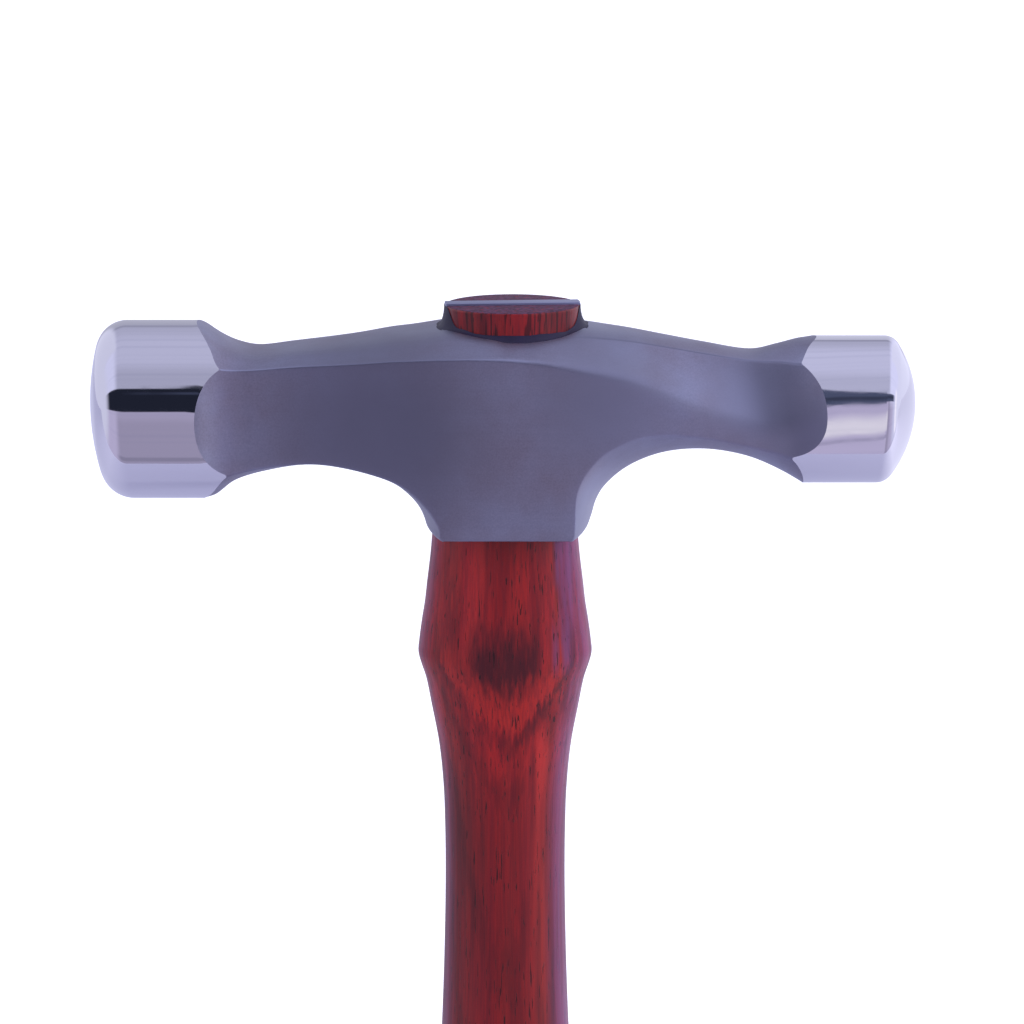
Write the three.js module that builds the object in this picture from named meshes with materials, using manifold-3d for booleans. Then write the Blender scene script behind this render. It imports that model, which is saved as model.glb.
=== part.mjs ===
// Planishing hammer: a one-piece steel head with two domed faces, hung on a
// turned oval handle by a wedged tenon and a bead of cured resin.
// Millimetres. The handle stands on its flat butt at the origin, +Z runs up
// the handle to the head, +X points to the smaller face.

import * as THREE from 'three';
import { mergeVertices } from 'three/addons/utils/BufferGeometryUtils.js';
import Module from 'manifold-3d';

const wasm = await Module();
wasm.setup();

// Heights up the handle
const faceAxisHeight = 250;
const ringHeight = 214.5;

// Head: faces
const leftReach = 58.9;
const leftFaceRadius = 12.7;
const leftDomeRadius = 35;
const leftRimRadius = 4.5;
const leftFaceLean = THREE.MathUtils.degToRad(2);
const rightReach = 58.4;
const rightFaceRadius = 10.5;
const rightDomeRadius = 16.5;
const rightRimRadius = 2.4;
const rightFaceLean = THREE.MathUtils.degToRad(3);

// Head: body round the eye and the two necks
const blockHalfDepth = 13.8;
const ridgeRise = 9.3;
const shoulderRise = 11.8;
const crownRise = 12.4;
const bossDrop = 16.5;
const bossHalfWidth = 12.4;
const leftNeckHalfDepth = 9.65;
const leftFlareRadius = 10;
const rightNeckHalfDepth = 9;
const rightFlareRadius = 12;

// Handle
const ringHalfWidth = 12.5;
const ringHalfDepth = 9.4;
const seatHalfWidth = 10.35;
const seatHalfDepth = 8.45;
const buttRound = 2.2;

// Tenon, wedge and resin
const tenonRise = 15.15;
const tenonTopHalfWidth = 9.6;
const tenonTopHalfDepth = 9.7;
const tenonOffset = 1.05;
const tenonFootHalfWidth = 9.2;
const tenonFootHalfDepth = 8;
const tenonEdgeRound = 0.35;
const wedgeDepth = 24;
const wedgeTopThickness = 3;
const wedgeTipThickness = 1;
const wedgeProud = 0.3;
const wedgeTurn = THREE.MathUtils.degToRad(5);
const mouthDepth = 3.5;
const mouthFlare = 1.15;
const beadRise = 0.9;
const beadLip = 0.35;
const skirtDepth = 2.4;

// Clearances
const seatGap = 0.3;
const eyeGap = 0.3;
const kerfGap = 0.3;
const resinGap = 0.3;
const overrun = 2;

// How finely curves are drawn
const roundSteps = 40;
const spanSteps = 2;
const domeSteps = 5;
const rimSteps = 4;

// Top of each arm, from the eye outwards. Each row: place along the arm as a
// share of its reach, then heights of the front ridge, of the shoulder line and
// of the crown as shares of the face radius, with the shoulder line's half
// width as a share of the cheek's half depth in the fourth place.
const leftTopShares = [
  [0.077, 0.736, 0.929, 0.67, 0.976],
  [0.128, 0.732, 0.921, 0.67, 0.969],
  [0.175, 0.725, 0.890, 0.67, 0.945],
  [0.223, 0.712, 0.858, 0.68, 0.913],
  [0.274, 0.696, 0.833, 0.68, 0.890],
  [0.363, 0.654, 0.773, 0.67, 0.822],
  [0.510, 0.602, 0.700, 0.67, 0.730],
  [0.600, 0.568, 0.655, 0.68, 0.697],
  [0.645, 0.566, 0.690, 0.68, 0.742],
  [0.682, 0.590, 0.745, 0.68, 0.835],
  [0.711, 0.655, 0.815, 0.70, 0.915],
  [0.745, 0.800, 0.930, 0.70, 1.010],
  [0.780, 1.000, 1.110, 0.70, 1.130],
  [1.050, 1.100, 1.220, 0.70, 1.244],
];
const rightTopShares = [
  [0.078, 0.857, 1.105, 0.62, 1.185],
  [0.130, 0.814, 1.100, 0.58, 1.175],
  [0.189, 0.750, 1.095, 0.55, 1.176],
  [0.243, 0.690, 1.065, 0.52, 1.138],
  [0.302, 0.604, 1.022, 0.50, 1.094],
  [0.382, 0.414, 0.945, 0.50, 1.014],
  [0.483, 0.114, 0.842, 0.51, 0.912],
  [0.600, -0.140, 0.745, 0.55, 0.814],
  [0.660, -0.170, 0.745, 0.65, 0.889],
  [0.712, -0.060, 0.733, 0.775, 0.966],
  [0.755, 0.080, 0.800, 0.86, 0.998],
  [0.800, 0.150, 1.000, 0.90, 1.060],
  [0.900, 0.150, 1.180, 0.92, 1.230],
  [1.050, 0.150, 1.200, 0.92, 1.240],
];

// Wall of the boss under each arm. Each row: half width at the cheek and half
// width halfway through, as shares of the boss's half width, with their heights
// as shares of its drop.
const leftBossShares = [
  [0.73, -1.10, 0.86, -1.10],
  [0.74, -0.91, 0.94, -0.91],
  [0.82, -0.79, 1.00, -0.81],
  [0.95, -0.67, 1.11, -0.70],
  [1.18, -0.53, 1.29, -0.59],
];
const rightBossShares = [
  [0.775, -1.10, 0.91, -1.10],
  [0.795, -0.88, 1.00, -0.90],
  [0.815, -0.61, 1.05, -0.78],
  [0.91, -0.44, 1.14, -0.66],
  [1.13, -0.26, 1.40, -0.49],
];

// Underside of each arm beyond the boss. Each row: place of the cheek's lower
// edge as a share of the reach and its height as a share of the face radius,
// then the same for the line halfway through.
const leftUnderShares = [
  [0.317, -0.575, 0.334, -0.661],
  [0.445, -0.484, 0.445, -0.559],
  [0.566, -0.528, 0.582, -0.668],
  [0.634, -0.590, 0.654, -0.784],
  [0.680, -0.646, 0.700, -0.950],
  [0.712, -0.756, 0.729, -0.992],
  [0.745, -0.945, 0.762, -1.100],
  [0.780, -1.180, 0.800, -1.260],
  [1.050, -1.180, 1.050, -1.260],
];
const rightUnderShares = [
  [0.344, -0.181, 0.382, -0.575],
  [0.483, -0.235, 0.483, -0.520],
  [0.585, -0.360, 0.585, -0.612],
  [0.660, -0.466, 0.660, -0.785],
  [0.712, -0.572, 0.720, -0.975],
  [0.764, -0.730, 0.755, -1.110],
  [0.807, -1.143, 0.807, -1.238],
  [0.900, -1.160, 0.900, -1.240],
  [1.050, -1.160, 1.050, -1.240],
];

// Plan taper of the cheeks and the start of the flare, as shares of the reach
const taperStartShare = 0.1;
const leftTaperEndShare = 0.565;
const rightTaperEndShare = 0.64;
const leftFlareStartShare = 0.613;
const rightFlareStartShare = 0.673;
const flareSweepShare = 0.9;
const neckShare = 0.61;

// Where the right arm's shoulder line sharpens into a crease, and how full the
// top is between that crease and the crown
const creaseStartShare = 0.08;
const creaseEndShare = 0.4;
const crownFullShare = 0.5;

// Handle below the ring: height as a share of the ring's height, half width and
// half depth as shares of the ring's own.
const gripShares = [
  [0.023, 1.024, 1.138],
  [0.164, 1.072, 1.170],
  [0.304, 1.072, 1.170],
  [0.468, 0.992, 1.096],
  [0.632, 0.848, 0.957],
  [0.749, 0.738, 0.851],
  [0.834, 0.698, 0.809],
  [0.879, 0.700, 0.809],
  [0.908, 0.717, 0.819],
  [0.937, 0.765, 0.862],
  [0.965, 0.853, 0.922],
  [0.982, 0.910, 0.964],
  [1.000, 1.000, 1.000],
];

// Handle between the ring and its seat: height as a share of that span, half
// width and half depth as shares of the step from the seat's size to the ring's.
const throatShares = [
  [0.00, 1.00, 1.00],
  [0.09, 0.95, 0.95],
  [0.25, 0.77, 0.79],
  [0.40, 0.56, 0.58],
  [0.56, 0.40, 0.42],
  [0.78, 0.17, 0.18],
  [1.00, 0.00, 0.00],
];

const leftArm = {
  sign: -1,
  reach: leftReach,
  faceRadius: leftFaceRadius,
  domeRadius: leftDomeRadius,
  faceLean: leftFaceLean,
  rimRadius: leftRimRadius,
  neckHalfDepth: leftNeckHalfDepth,
  flareRadius: leftFlareRadius,
  taperEndShare: leftTaperEndShare,
  flareStartShare: leftFlareStartShare,
  topShares: leftTopShares,
  bossShares: leftBossShares,
  underShares: leftUnderShares,
};
const rightArm = {
  sign: 1,
  reach: rightReach,
  faceRadius: rightFaceRadius,
  domeRadius: rightDomeRadius,
  faceLean: rightFaceLean,
  rimRadius: rightRimRadius,
  neckHalfDepth: rightNeckHalfDepth,
  flareRadius: rightFlareRadius,
  taperEndShare: rightTaperEndShare,
  flareStartShare: rightFlareStartShare,
  topShares: rightTopShares,
  bossShares: rightBossShares,
  underShares: rightUnderShares,
};

// Closed meshes and booleans

function closedGeometry(positions, indices) {
  const geometry = new THREE.BufferGeometry();
  geometry.setAttribute('position', new THREE.Float32BufferAttribute(positions, 3));
  geometry.setIndex(indices);
  return geometry;
}

// Skin over a row of rings with equal point counts, capped at both ends
function skinRings(rings) {
  const count = rings[0].length;
  const positions = rings.flatMap((ring) => ring.flatMap((point) => point.toArray()));
  const indices = [];
  for (let row = 0; row + 1 < rings.length; row += 1) {
    for (let column = 0; column < count; column += 1) {
      const next = (column + 1) % count;
      const a = row * count + column;
      const b = row * count + next;
      indices.push(a, b, a + count, b, b + count, a + count);
    }
  }
  addCap(rings[0], 0, true, positions, indices);
  addCap(rings[rings.length - 1], (rings.length - 1) * count, false, positions, indices);
  return closedGeometry(positions, indices);
}

function addCap(ring, first, facesBack, positions, indices) {
  const centre = new THREE.Vector3();
  ring.forEach((point) => centre.add(point));
  centre.divideScalar(ring.length);
  const hub = positions.length / 3;
  positions.push(...centre.toArray());
  for (let column = 0; column < ring.length; column += 1) {
    const a = first + column;
    const b = first + (column + 1) % ring.length;
    if (facesBack) indices.push(hub, b, a);
    else indices.push(hub, a, b);
  }
}

function toSolid(geometry) {
  const bare = geometry.clone();
  bare.deleteAttribute('normal');
  bare.deleteAttribute('uv');
  const merged = mergeVertices(bare);
  const solid = new wasm.Manifold(new wasm.Mesh({
    numProp: 3,
    vertProperties: new Float32Array(merged.attributes.position.array),
    triVerts: new Uint32Array(merged.index.array),
  }));
  return solid;
}

function toGeometry(solid) {
  const mesh = solid.getMesh();
  const geometry = closedGeometry(Array.from(mesh.vertProperties), Array.from(mesh.triVerts));
  geometry.computeVertexNormals();
  return geometry;
}

// Head

function cheekHalfDepth(x) {
  const arm = x < 0 ? leftArm : rightArm;
  const along = Math.abs(x) / arm.reach;
  const run = THREE.MathUtils.smoothstep(along, taperStartShare, arm.taperEndShare);
  const past = Math.max(Math.abs(x) - arm.flareStartShare * arm.reach, 0);
  const sweep = Math.min(past, arm.flareRadius * flareSweepShare);
  const flare = arm.flareRadius - Math.sqrt(arm.flareRadius ** 2 - sweep ** 2);
  return THREE.MathUtils.lerp(blockHalfDepth, arm.neckHalfDepth, run) + flare;
}

// Stations from the eye outwards along one arm. Each holds the lower line
// halfway through, the cheek's lower edge, the ridge, the shoulder line and the crown.
function armStations(arm) {
  const corner = bossDrop * arm.bossShares[0][1];
  const lower = [
    [0, corner, 0, corner],
    ...arm.bossShares.map((row) => [
      row[0] * bossHalfWidth, row[1] * bossDrop, row[2] * bossHalfWidth, row[3] * bossDrop,
    ]),
    ...arm.underShares.map((row) => [
      row[0] * arm.reach, row[1] * arm.faceRadius, row[2] * arm.reach, row[3] * arm.faceRadius,
    ]),
  ];
  const upper = [
    [0, ridgeRise, shoulderRise, arm.topShares[0][3], crownRise],
    ...arm.topShares.map((row) => [
      row[0] * arm.reach, row[1] * arm.faceRadius, row[2] * arm.faceRadius, row[3],
      row[4] * arm.faceRadius,
    ]),
  ];
  return lower.map((low, index) => {
    const [x, ridge, shoulder, widthShare, crown] = upper[index];
    const place = arm.sign * x;
    return {
      middle: new THREE.Vector3(arm.sign * low[2], 0, low[3]),
      edge: new THREE.Vector3(arm.sign * low[0], 0, low[1]),
      ridge: new THREE.Vector3(place, 0, ridge),
      shoulder: new THREE.Vector3(place, widthShare * cheekHalfDepth(place), shoulder),
      crown: new THREE.Vector3(place, 0, crown),
    };
  });
}

function railThrough(stations, name) {
  return new THREE.CatmullRomCurve3(stations.map((station) => station[name]), false, 'centripetal');
}

// Half of the ring of points at one place along the head, from the lower line
// halfway through, up the front cheek, to the crown
function halfRing(middle, edge, ridge, shoulder, crown) {
  const points = [];
  const edgeDepth = cheekHalfDepth(edge.x);
  const underSteps = 4;
  for (let step = 0; step < underSteps; step += 1) {
    const share = step / underSteps;
    const point = middle.clone().lerp(edge, share ** 2);
    points.push(new THREE.Vector3(point.x, -share * edgeDepth, point.z));
  }
  const cheekSteps = 3;
  for (let step = 0; step < cheekSteps; step += 1) {
    const point = edge.clone().lerp(ridge, step / cheekSteps);
    points.push(new THREE.Vector3(point.x, -cheekHalfDepth(point.x), point.z));
  }
  return [...points, ...overPoints(ridge, shoulder, crown)];
}

// From the front ridge over the shoulder to the crown: one smooth curve, which
// turns into a flat panel, a crease and a low arch along the right arm
function overPoints(ridge, shoulder, crown) {
  const ridgeDepth = cheekHalfDepth(ridge.x);
  const front = new THREE.Vector3(ridge.x, -ridgeDepth, ridge.z);
  const brow = new THREE.Vector3(shoulder.x, -shoulder.y, shoulder.z);
  const smooth = new THREE.CatmullRomCurve3([
    front,
    brow,
    crown,
    new THREE.Vector3(shoulder.x, shoulder.y, shoulder.z),
    new THREE.Vector3(ridge.x, ridgeDepth, ridge.z),
  ], false, 'centripetal');
  const panel = new THREE.LineCurve3(front, brow);
  const full = new THREE.Vector3(brow.x, brow.y * crownFullShare, crown.z);
  const arch = new THREE.QuadraticBezierCurve3(brow, full, crown);
  const along = shoulder.x / rightReach;
  const crease = THREE.MathUtils.smoothstep(along, creaseStartShare, creaseEndShare);
  const points = [];
  const sideSteps = 3;
  for (let step = 0; step <= 2 * sideSteps; step += 1) {
    const share = step / sideSteps;
    const flat = share < 1 ? panel.getPoint(share) : arch.getPoint(share - 1);
    points.push(smooth.getPoint(share / 4).lerp(flat, crease));
  }
  return points;
}

function mirroredRing(half) {
  const back = half.slice(1, -1).reverse().map((point) => new THREE.Vector3(point.x, -point.y, point.z));
  return [...half, ...back].reverse();
}

function headBody() {
  const stations = [...armStations(leftArm).slice(1).reverse(), ...armStations(rightArm)];
  const names = ['middle', 'edge', 'ridge', 'shoulder', 'crown'];
  const rails = names.map((name) => railThrough(stations, name));
  const spans = (stations.length - 1) * spanSteps;
  const rings = [];
  for (let span = 0; span <= spans; span += 1) {
    const places = rails.map((rail) => rail.getPoint(span / spans));
    rings.push(mirroredRing(halfRing(...places)));
  }
  return toSolid(skinRings(rings));
}

// Half of the outline that is turned about the striking axis: the domed face,
// its rounded rim and its cylinder back to the neck
function faceOutline(arm) {
  const rimCentre = arm.faceRadius - arm.rimRadius;
  const domeCentre = arm.reach - arm.domeRadius;
  const lean = Math.asin(rimCentre / (arm.domeRadius - arm.rimRadius));
  const rimPlace = domeCentre + (arm.domeRadius - arm.rimRadius) * Math.cos(lean);
  const points = [];
  for (let step = 0; step < domeSteps; step += 1) {
    const angle = lean * step / domeSteps;
    points.push([arm.domeRadius * Math.sin(angle), domeCentre + arm.domeRadius * Math.cos(angle)]);
  }
  for (let step = 0; step <= rimSteps; step += 1) {
    const angle = THREE.MathUtils.lerp(lean, Math.PI / 2, step / rimSteps);
    points.push([rimCentre + arm.rimRadius * Math.sin(angle), rimPlace + arm.rimRadius * Math.cos(angle)]);
  }
  const neck = neckShare * arm.reach;
  points.push([arm.faceRadius, neck], [blockHalfDepth + bossDrop, neck]);
  return points.map(([radius, place]) => new THREE.Vector2(radius, arm.sign * place));
}

function faceEnvelope() {
  const outline = [...faceOutline(leftArm), ...faceOutline(rightArm).reverse()];
  const turned = new THREE.LatheGeometry(outline, roundSteps).rotateZ(-Math.PI / 2);
  leanFaces(turned);
  return toSolid(turned);
}

// Each face leans back a little, so its top reaches further out than its foot
function leanFaces(turned) {
  const places = turned.attributes.position;
  for (let index = 0; index < places.count; index += 1) {
    const x = places.getX(index);
    const arm = x < 0 ? leftArm : rightArm;
    const onFace = Math.abs(x) > arm.reach - arm.faceRadius;
    if (onFace) places.setX(index, x + arm.sign * Math.tan(arm.faceLean) * places.getZ(index));
  }
}

// An upright oval body through rows of half width, half depth, height and
// sideways place
function ovalBody(rows) {
  const rings = rows.map(([halfWidth, halfDepth, height, place = 0]) => {
    const ring = [];
    for (let step = 0; step < roundSteps; step += 1) {
      const angle = step / roundSteps * Math.PI * 2;
      const x = place + halfWidth * Math.cos(angle);
      ring.push(new THREE.Vector3(x, halfDepth * Math.sin(angle), height));
    }
    return ring;
  });
  return toSolid(skinRings(rings));
}

// Half width and half depth of the tenon at a height from the striking axis
function tenonSize(height) {
  const share = (height + bossDrop) / (tenonRise + bossDrop);
  return [
    THREE.MathUtils.lerp(tenonFootHalfWidth, tenonTopHalfWidth, share),
    THREE.MathUtils.lerp(tenonFootHalfDepth, tenonTopHalfDepth, share),
  ];
}

function tenonRow(height, grow) {
  const [halfWidth, halfDepth] = tenonSize(height);
  return [halfWidth + grow, halfDepth + grow, height, tenonOffset];
}

// The eye follows the tenon and opens out in a small mouth at the crown
function eyeCutter() {
  const mouthFoot = crownRise - mouthDepth;
  return ovalBody([
    tenonRow(-bossDrop - overrun, eyeGap),
    tenonRow(mouthFoot, eyeGap),
    tenonRow(crownRise, mouthFlare),
    tenonRow(crownRise + overrun, mouthFlare),
  ]);
}

function underBossCutter() {
  const width = (leftReach + rightReach) * 2;
  const height = bossDrop;
  const block = new THREE.BoxGeometry(width, width, height);
  block.translate(0, 0, -bossDrop - height / 2);
  return toSolid(block);
}

function buildHead() {
  return headBody()
    .subtract(underBossCutter())
    .intersect(faceEnvelope())
    .subtract(eyeCutter());
}

// Wedge plate, tapered downwards, wider than the tenon so that it can be cut flush
function wedgePlate(gap) {
  const reach = tenonTopHalfWidth + overrun;
  const top = tenonRise + wedgeProud;
  const slope = (wedgeTopThickness - wedgeTipThickness) / 2 / wedgeDepth;
  const rise = gap > 0 ? overrun : 0;
  const rows = [
    [wedgeTipThickness / 2 + gap - slope * gap, top - wedgeDepth - gap],
    [wedgeTopThickness / 2 + gap + slope * rise, top + rise],
  ];
  const rings = rows.map(([half, height]) => [
    new THREE.Vector3(-reach, -half, height),
    new THREE.Vector3(reach, -half, height),
    new THREE.Vector3(reach, half, height),
    new THREE.Vector3(-reach, half, height),
  ]);
  return toSolid(skinRings(rings).rotateZ(wedgeTurn).translate(tenonOffset, 0, 0));
}

function buildWedge() {
  const trim = ovalBody([
    tenonRow(-bossDrop, 0),
    tenonRow(tenonRise + overrun, 0),
  ]);
  return wedgePlate(0).intersect(trim);
}

// Handle

function handleRows() {
  const seat = faceAxisHeight - bossDrop - seatGap;
  const grip = new THREE.CatmullRomCurve3(gripShares.map(([height, width, depth]) => (
    new THREE.Vector3(width * ringHalfWidth, depth * ringHalfDepth, height * ringHeight)
  )), false, 'centripetal');
  const throat = new THREE.CatmullRomCurve3(throatShares.map(([height, width, depth]) => (
    new THREE.Vector3(
      THREE.MathUtils.lerp(seatHalfWidth, ringHalfWidth, width),
      THREE.MathUtils.lerp(seatHalfDepth, ringHalfDepth, depth),
      THREE.MathUtils.lerp(ringHeight, seat, height),
    )
  )), false, 'centripetal');
  const rows = buttRows(grip.getPoint(0));
  const gripSpans = (gripShares.length - 1) * spanSteps;
  for (let span = 0; span < gripSpans; span += 1) rows.push(grip.getPoint(span / gripSpans).toArray());
  const throatSpans = throatShares.length - 1;
  for (let span = 0; span <= throatSpans; span += 1) rows.push(throat.getPoint(span / throatSpans).toArray());
  return rows;
}

// The flat butt and the quarter round that leads into the grip
function buttRows(grip) {
  const rows = [];
  for (let step = 0; step < rimSteps; step += 1) {
    const angle = step / rimSteps * Math.PI / 2;
    const inset = buttRound * (1 - Math.sin(angle));
    rows.push([grip.x - inset, grip.y - inset, buttRound * (1 - Math.cos(angle))]);
  }
  return rows;
}

function buildHandle() {
  const raised = ([halfWidth, halfDepth, height, place]) => (
    [halfWidth, halfDepth, height + faceAxisHeight, place]
  );
  const tenon = [
    raised(tenonRow(-bossDrop - seatGap, 0)),
    raised(tenonRow(tenonRise - tenonEdgeRound, 0)),
    raised(tenonRow(tenonRise, -tenonEdgeRound)),
  ];
  const kerf = wedgePlate(kerfGap).translate([0, 0, faceAxisHeight]);
  return ovalBody([...handleRows(), ...tenon]).subtract(kerf);
}

// Resin: a fillet round the foot of the stub with a skirt down into the mouth
function buildBead() {
  const top = crownRise + beadRise;
  const foot = crownRise - skirtDepth;
  const drop = mouthDepth - skirtDepth;
  const skirt = (mouthFlare - eyeGap) * drop / mouthDepth + eyeGap;
  const outer = ovalBody([
    tenonRow(foot, skirt - resinGap + beadLip),
    tenonRow(crownRise - mouthDepth / 4, mouthFlare),
    tenonRow(crownRise + resinGap, mouthFlare),
    tenonRow(crownRise + beadRise / 2, (mouthFlare + resinGap) / 2),
    tenonRow(top, resinGap + beadLip),
  ]);
  const inner = ovalBody([
    tenonRow(foot - overrun, resinGap),
    tenonRow(top + overrun, resinGap),
  ]);
  return outer.subtract(inner);
}

// Finishes

function steel(color, roughness) {
  return new THREE.MeshStandardMaterial({ color, roughness, metalness: 1 });
}

const blastedSteel = steel(0x63617c, 0.55);
const brightSteel = steel(0xa9a8c4, 0.35);
const redwood = new THREE.MeshStandardMaterial({ color: 0x7c2a33, roughness: 0.42, metalness: 0 });
const navyResin = new THREE.MeshStandardMaterial({ color: 0x23243c, roughness: 0.3, metalness: 0 });

function named(name, solid, material, height) {
  const mesh = new THREE.Mesh(toGeometry(solid), material);
  mesh.name = name;
  mesh.position.z = height;
  return mesh;
}

const head = buildHead();
const bead = buildBead().subtract(head.translate([0, 0, resinGap]));

const hammer = new THREE.Group();
hammer.add(named('hammer_head', head, blastedSteel, faceAxisHeight));
hammer.add(named('handle', buildHandle(), redwood, 0));
hammer.add(named('steel_wedge', buildWedge(), brightSteel, faceAxisHeight));
hammer.add(named('resin_bead', bead, navyResin, faceAxisHeight));

export default hammer;
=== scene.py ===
"""Builds the finished pieces of a planishing hammer round its CAD frame.

Metres throughout. The hammer stands on its butt at the origin, +Z runs up the
handle to the head and +X points to the smaller face.
"""

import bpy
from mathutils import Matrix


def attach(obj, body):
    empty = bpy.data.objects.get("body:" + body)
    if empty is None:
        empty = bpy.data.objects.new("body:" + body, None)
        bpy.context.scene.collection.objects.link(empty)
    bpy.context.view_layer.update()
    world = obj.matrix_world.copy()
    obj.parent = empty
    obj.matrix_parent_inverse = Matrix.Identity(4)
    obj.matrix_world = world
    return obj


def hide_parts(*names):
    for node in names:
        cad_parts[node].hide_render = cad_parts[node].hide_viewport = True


bl_info = {
    "name": "Planishing hammer",
    "version": (1, 0, 0),
    "blender": (4, 5, 0),
    "location": "3D Viewport > Sidebar > Hammer",
    "description": "Builds a planishing hammer with a steel head on an oval handle",
    "category": "Object",
}

import math
from functools import partial
from types import SimpleNamespace

import bmesh
import bpy
from mathutils import Matrix, Vector, noise
from mathutils.bvhtree import BVHTree

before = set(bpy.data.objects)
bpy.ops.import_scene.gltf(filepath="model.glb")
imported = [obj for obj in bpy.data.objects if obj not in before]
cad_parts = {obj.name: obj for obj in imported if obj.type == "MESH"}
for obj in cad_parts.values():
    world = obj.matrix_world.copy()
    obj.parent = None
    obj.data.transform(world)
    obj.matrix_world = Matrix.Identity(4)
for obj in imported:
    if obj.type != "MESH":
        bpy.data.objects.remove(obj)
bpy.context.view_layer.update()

MM = 0.001
IMAGE_PIXELS = 1024
SENSOR_WIDTH = 36.0

# Where each polished cylinder ends, as a share of its arm's reach, and how far a
# cutting tool reaches beyond what it cuts
NECK_SHARE = 0.61
BEYOND = 2 * MM

# Numbers that the head's faces keep through its booleans: forged, turned and the eye's wall
FORGED, TURNED, EYE_WALL = 0, 1, 2

# Lines of the head, the same as in the CAD source. Top of each arm, from the eye
# outwards: place as a share of the reach, then the front ridge, the shoulder
# line, the shoulder line's half width as a share of the cheek's half depth, and
# the crown. Heights are shares of the face radius.
LEFT_TOP = (
    (0.077, 0.736, 0.929, 0.67, 0.976),
    (0.128, 0.732, 0.921, 0.67, 0.969),
    (0.175, 0.725, 0.890, 0.67, 0.945),
    (0.223, 0.712, 0.858, 0.68, 0.913),
    (0.274, 0.696, 0.833, 0.68, 0.890),
    (0.363, 0.654, 0.773, 0.67, 0.822),
    (0.510, 0.602, 0.700, 0.67, 0.730),
    (0.600, 0.568, 0.655, 0.68, 0.697),
    (0.645, 0.566, 0.690, 0.68, 0.742),
    (0.682, 0.590, 0.745, 0.68, 0.835),
    (0.711, 0.655, 0.815, 0.70, 0.915),
    (0.745, 0.800, 0.930, 0.70, 1.010),
    (0.780, 1.000, 1.110, 0.70, 1.130),
    (1.050, 1.100, 1.220, 0.70, 1.244),
)
RIGHT_TOP = (
    (0.078, 0.857, 1.105, 0.62, 1.185),
    (0.130, 0.814, 1.100, 0.58, 1.175),
    (0.189, 0.750, 1.095, 0.55, 1.176),
    (0.243, 0.690, 1.065, 0.52, 1.138),
    (0.302, 0.604, 1.022, 0.50, 1.094),
    (0.382, 0.414, 0.945, 0.50, 1.014),
    (0.483, 0.114, 0.842, 0.51, 0.912),
    (0.600, -0.140, 0.745, 0.55, 0.814),
    (0.660, -0.170, 0.745, 0.65, 0.889),
    (0.712, -0.060, 0.733, 0.775, 0.966),
    (0.755, 0.080, 0.800, 0.86, 0.998),
    (0.800, 0.150, 1.000, 0.90, 1.060),
    (0.900, 0.150, 1.180, 0.92, 1.230),
    (1.050, 0.150, 1.200, 0.92, 1.240),
)

# Foot and wall of the boss under each arm: half width at the cheek and its
# height, then the same halfway through, as shares of the boss's half width and drop.
LEFT_BOSS = (
    (0.000, -1.000, 0.000, -1.000),
    (0.645, -1.000, 0.812, -1.000),
    (0.705, -1.000, 0.872, -1.000),
    (0.735, -0.978, 0.908, -0.978),
    (0.740, -0.910, 0.940, -0.910),
    (0.820, -0.790, 1.000, -0.810),
    (0.950, -0.670, 1.110, -0.700),
    (1.180, -0.530, 1.290, -0.590),
)
RIGHT_BOSS = (
    (0.000, -1.000, 0.000, -1.000),
    (0.700, -1.000, 0.855, -1.000),
    (0.755, -1.000, 0.920, -1.000),
    (0.785, -0.978, 0.957, -0.978),
    (0.795, -0.880, 1.000, -0.900),
    (0.815, -0.610, 1.050, -0.780),
    (0.910, -0.440, 1.140, -0.660),
    (1.130, -0.260, 1.400, -0.490),
)

# Underside of each arm beyond the boss: place and height of the cheek's lower
# edge, then of the line halfway through, as shares of the reach and face radius.
LEFT_UNDER = (
    (0.317, -0.575, 0.334, -0.661),
    (0.445, -0.484, 0.445, -0.559),
    (0.566, -0.528, 0.582, -0.668),
    (0.634, -0.590, 0.654, -0.784),
    (0.680, -0.646, 0.700, -0.950),
    (0.712, -0.756, 0.729, -0.992),
    (0.745, -0.945, 0.762, -1.100),
    (0.780, -1.180, 0.800, -1.260),
    (1.050, -1.180, 1.050, -1.260),
)
RIGHT_UNDER = (
    (0.344, -0.181, 0.382, -0.575),
    (0.483, -0.235, 0.483, -0.520),
    (0.585, -0.360, 0.585, -0.612),
    (0.660, -0.466, 0.660, -0.785),
    (0.712, -0.572, 0.720, -0.975),
    (0.764, -0.730, 0.755, -1.110),
    (0.807, -1.143, 0.807, -1.238),
    (0.900, -1.160, 0.900, -1.240),
    (1.050, -1.160, 1.050, -1.240),
)

# Handle below the ring: height as a share of the ring's height, then half width
# and half depth as shares of the ring's own.
GRIP = (
    (0.023, 1.024, 1.138),
    (0.164, 1.072, 1.170),
    (0.304, 1.072, 1.170),
    (0.468, 0.992, 1.096),
    (0.632, 0.848, 0.957),
    (0.749, 0.738, 0.851),
    (0.834, 0.698, 0.809),
    (0.879, 0.700, 0.809),
    (0.908, 0.717, 0.819),
    (0.937, 0.765, 0.862),
    (0.965, 0.853, 0.922),
    (0.982, 0.910, 0.964),
    (1.000, 1.000, 1.000),
)

# Handle between the ring and its seat: height as a share of that span, then half
# width and half depth as shares of the step from the seat's size to the ring's.
THROAT = (
    (0.09, 0.95, 0.95),
    (0.25, 0.77, 0.79),
    (0.40, 0.56, 0.58),
    (0.56, 0.40, 0.42),
    (0.78, 0.17, 0.18),
    (1.00, 0.00, 0.00),
)


def linear_colour(hex_value):
    """Linear red, green and blue of an sRGB hex value such as 7c2a33."""
    shares = [int(hex_value[i:i + 2], 16) / 255 for i in (0, 2, 4)]
    return tuple(
        share / 12.92 if share <= 0.04045 else ((share + 0.055) / 1.055) ** 2.4
        for share in shares
    )


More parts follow.
